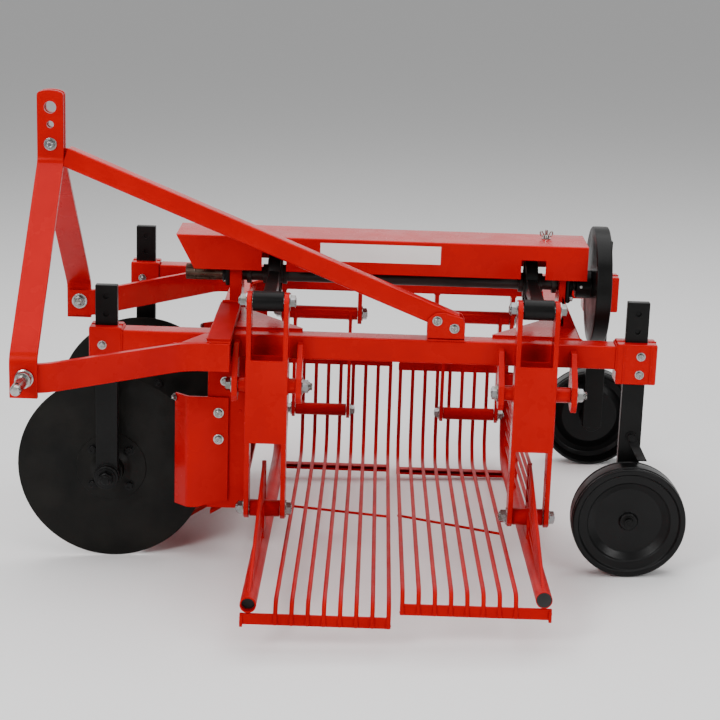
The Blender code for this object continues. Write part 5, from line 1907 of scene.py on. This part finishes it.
@dataclass
class Share:
    """Share blade, the legs that hold it and the guards on them."""

    kit: Kit
    inner_y: float = 0.100
    front: tuple[float, float] = (0.330, -0.457)
    rear: tuple[float, float] = (0.560, -0.313)

    def sides(self) -> None:
        """Build both legs and both guards with their bolts."""
        for side, out in ((Side.NEAR, -1.0), (Side.FAR, 1.0)):

            def y(value: float) -> float:
                """Place across, given in near-side terms."""
                return L.far(value) if side is Side.FAR else value

            leg = Solid()
            ys = sorted((y(0.020), y(0.032)))
            leg.box(0.480, 0.564, ys[0], ys[1], -0.339, -0.0003, 0.0012)
            for x in (0.480, 0.564):
                leg.weld([(x, ys[0], -0.001), (x, ys[1], -0.001)], 0.002)
            leg.weld([(0.484, y(0.020), -0.001), (0.560, y(0.020), -0.001)], 0.0022)
            for x in (0.518, 0.548):
                leg.drum((x, y(0.0205), -0.122), (x, y(0.0188), -0.122), 0.004, 0.003, steps=20, bevel=0.0005)
            self.kit.emit(side + "_leg_plate", leg, [RED], Body.MAIN, [side + "_share_leg"])
            guard = Solid()
            face = 0.0197
            centre = [(0.525, y(face - 0.003)), (0.439, y(face - 0.003)), (0.4105, y(face + 0.0225))]
            guard.strip(centre, Axis.Z, -0.338, -0.092, 0.006, 0.006, 0.0008)
            slope = [(0.440, -0.342), (0.530, -0.318), (0.530, -0.400), (0.440, -0.400)]
            cutter = Solid().hull([(px, py, pz) for py in (-0.1, 0.9) for px, pz in slope], 0.0)
            guard.carve(cutter)
            self.kit.emit(side + "_guard_sheet", guard, [RED], Body.MAIN, [side + "_guard"])
            bolts = Solid()
            for z in (-0.126, -0.184):
                bolts.bolt((0.504, y(face - 0.006), z), (0, out, 0), 0.0095)
                bolts.nut((0.504, y(0.032), z), (0, -out, 0), 0.0095, 0.002)
            bolts.bolt((0.516, y(0.020), -0.058), (0, out, 0), 0.0085)
            bolts.nut((0.4085, y(face + 0.019), -0.101), (-0.75, out * 0.66, 0), 0.007, 0.002)
            self.kit.emit(side + "_guard_bolts", bolts, PLATED, Body.MAIN)

    def blade(self) -> None:
        """Build the sloping share with its plough bolts and worn front edge."""
        solid = Solid()
        slope = (self.rear[1] - self.front[1]) / (self.rear[0] - self.front[0])

        def slab(x0: float, x1: float, y0: float, y1: float, tip: float, bevel: float) -> None:
            """Add a plate that lies in the share's slope.

            Args:
                x0: Its front edge.
                x1: Its rear edge.
                y0: Its near edge.
                y1: Its far edge.
                tip: Thickness at the front edge, over 3 mm.
                bevel: Rounding of the edges.
            """
            z0 = self.front[1] + (x0 - self.front[0]) * slope
            z1 = self.front[1] + (x1 - self.front[0]) * slope
            points = []
            for y in (y0, y1):
                points += [(x0, y, z0), (x0, y, z0 + 0.003 + tip), (x1, y, z1), (x1, y, z1 + 0.010)]
                points += [(x0 + 0.03, y, z0 + 0.03 * slope), (x0 + 0.03, y, z0 + 0.03 * slope + 0.010)]
            solid.hull(points, bevel)

        slab(self.front[0], self.rear[0], self.inner_y, L.far(self.inner_y), 0.0, 0.0008)
        edge = 0.0323
        slab(0.486, self.rear[0] - 0.001, edge, L.far(edge), 0.007, 0.001)
        self.kit.emit("share_plate", solid, [DEEP_RED], Body.MAIN, ["share_blade"])
        bolts = Solid()
        normal = Vector((-slope, 0.0, 1.0)).normalized()
        first, span = self.inner_y + 0.045, L.far(self.inner_y) - self.inner_y - 0.09
        heads = [(x, first + index * span / 4, 0.0105, 0.0070, 28) for x in (0.395, 0.520) for index in range(5)]
        heads += [(0.500 + index * 0.022, y, 0.0085, 0.0055, 24) for index in range(3) for y in (0.048, L.far(0.048))]
        for x, y, rim, crown, steps in heads:
            base = Vector((x, y, self.front[1] + (x - self.front[0]) * slope + 0.010))
            dome = [(0.0, -0.002), (rim, -0.002), (rim - 0.0005, 0.0010), (crown, 0.0024), (0.0, 0.0030)]
            bolts.lathe(dome, base, normal, steps)
        self.kit.emit("share_bolts", bolts, [DEEP_RED], Body.MAIN)

    def build(self) -> None:
        """Build the share and its sides."""
        self.sides()
        self.blade()


# ---------------------------------------------------------------- studio


@dataclass
class Studio:
    """Floor, lights and the camera."""

    lens: float = 93.05
    yaw: float = 0.006
    pitch: float = 0.258
    roll: float = 0.032
    spot: tuple[float, float, float] = (0.8208, -3.748, 0.9922)
    back_glow: float = 0.85
    room_glow: float = 0.27

    def camera(self) -> None:
        """Place the camera where the machine was seen from."""
        data = bpy.data.cameras.new("camera")
        data.lens = self.lens
        data.sensor_width = 36.0
        level = math.cos(self.pitch)
        forward = Vector((-math.sin(self.yaw) * level, math.cos(self.yaw) * level, -math.sin(self.pitch)))
        right = Vector((math.cos(self.yaw), math.sin(self.yaw), 0.0))
        up = right.cross(forward)
        turned = right * math.cos(self.roll) + up * math.sin(self.roll)
        lifted = up * math.cos(self.roll) - right * math.sin(self.roll)
        pose = Matrix((turned, lifted, -forward)).transposed().to_4x4()
        pose.translation = Vector(self.spot)
        item = bpy.data.objects.new("camera", data)
        bpy.context.scene.collection.objects.link(item)
        item.matrix_world = STANCE @ pose
        bpy.context.scene.camera = item

    def floor(self) -> None:
        """Lay a pale floor."""
        bm = bmesh.new()
        bmesh.ops.create_grid(bm, x_segments=1, y_segments=1, size=30.0)
        mesh = bpy.data.meshes.new("floor")
        bm.to_mesh(mesh)
        bm.free()
        item = bpy.data.objects.new("floor", mesh)
        bpy.context.scene.collection.objects.link(item)
        item.location = (0.0, 0.0, -0.0005)
        paint = bpy.data.materials.new("floor_paper")
        paint.use_nodes = True
        shader = paint.node_tree.nodes["Principled BSDF"]
        shader.inputs["Base Color"].default_value = (0.93, 0.93, 0.93, 1.0)
        shader.inputs["Roughness"].default_value = 0.9
        shader.inputs["Specular IOR Level"].default_value = 0.1
        mesh.materials.append(paint)

    def lights(self) -> None:
        """Hang the soft boxes and set the bright surround."""
        world = bpy.context.scene.world or bpy.data.worlds.new("studio")
        bpy.context.scene.world = world
        world.use_nodes = True
        tree = world.node_tree
        back = tree.nodes.get("Background") or tree.nodes.new("ShaderNodeBackground")
        split = tree.nodes.new("ShaderNodeSeparateXYZ")
        tree.links.new(tree.nodes.new("ShaderNodeTexCoord").outputs["Generated"], split.inputs[0])
        steps = []
        for axis, start, end, low, high in (("Y", -0.1, 0.8, 0.0, self.back_glow), ("Z", 0.30, 0.62, 1.0, 0.25)):
            ramp = tree.nodes.new("ShaderNodeMapRange")
            ramp.interpolation_type = "SMOOTHSTEP"
            for name, number in (("From Min", start), ("From Max", end), ("To Min", low), ("To Max", high)):
                ramp.inputs[name].default_value = number
            tree.links.new(split.outputs[axis], ramp.inputs["Value"])
            steps.append(ramp.outputs["Result"])
        band = tree.nodes.new("ShaderNodeMath")
        band.operation = "MULTIPLY_ADD"
        tree.links.new(steps[0], band.inputs[0])
        tree.links.new(steps[1], band.inputs[1])
        band.inputs[2].default_value = self.room_glow
        tree.links.new(band.outputs["Value"], back.inputs["Strength"])
        back.inputs["Color"].default_value = (1.0, 1.0, 1.0, 1.0)
        boxes = (
            ("key", (-1.9, -3.3, 2.5), 80.0, 1.2),
            ("fill", (2.4, -2.9, 1.9), 40.0, 1.2),
            ("top", (0.1, 0.4, 3.6), 170.0, 4.5),
        )
        for name, place, power, size in boxes:
            data = bpy.data.lights.new(name, "AREA")
            data.shape = "SQUARE"
            data.size = size
            data.energy = power
            item = bpy.data.objects.new(name, data)
            bpy.context.scene.collection.objects.link(item)
            item.location = place
            item.rotation_mode = "QUATERNION"
            item.rotation_quaternion = (Vector((0.0, 0.0, 0.45)) - Vector(place)).to_track_quat("-Z", "Y")

    def build(self) -> None:
        """Set up the whole studio."""
        self.camera()
        self.floor()
        self.lights()


def main() -> None:
    kit = Kit()
    parts = [
        Frame(kit),
        Hitch(kit),
        Drive(kit),
        Rocker(kit, Side.LEFT, L.left_rocker_x, L.left_hangers, 0.013),
        Rocker(kit, Side.RIGHT, L.right_rocker_x, L.right_hangers, 0.018),
        Sieve(kit, Side.LEFT, L.left_sieve_x, 1.0, (0.230, 0.170)),
        Sieve(kit, Side.RIGHT, L.right_sieve_x, -1.0, (0.020, 0.150)),
        Corner(kit, Side.NEAR),
        Corner(kit, Side.FAR),
        Share(kit),
    ]
    for part in parts:
        part.build()
    Studio().build()
    LOG.info("%d pieces, %d triangles", kit.made, kit.triangles)
    bpy.context.view_layer.update()


if __name__ == "__main__":
    main()
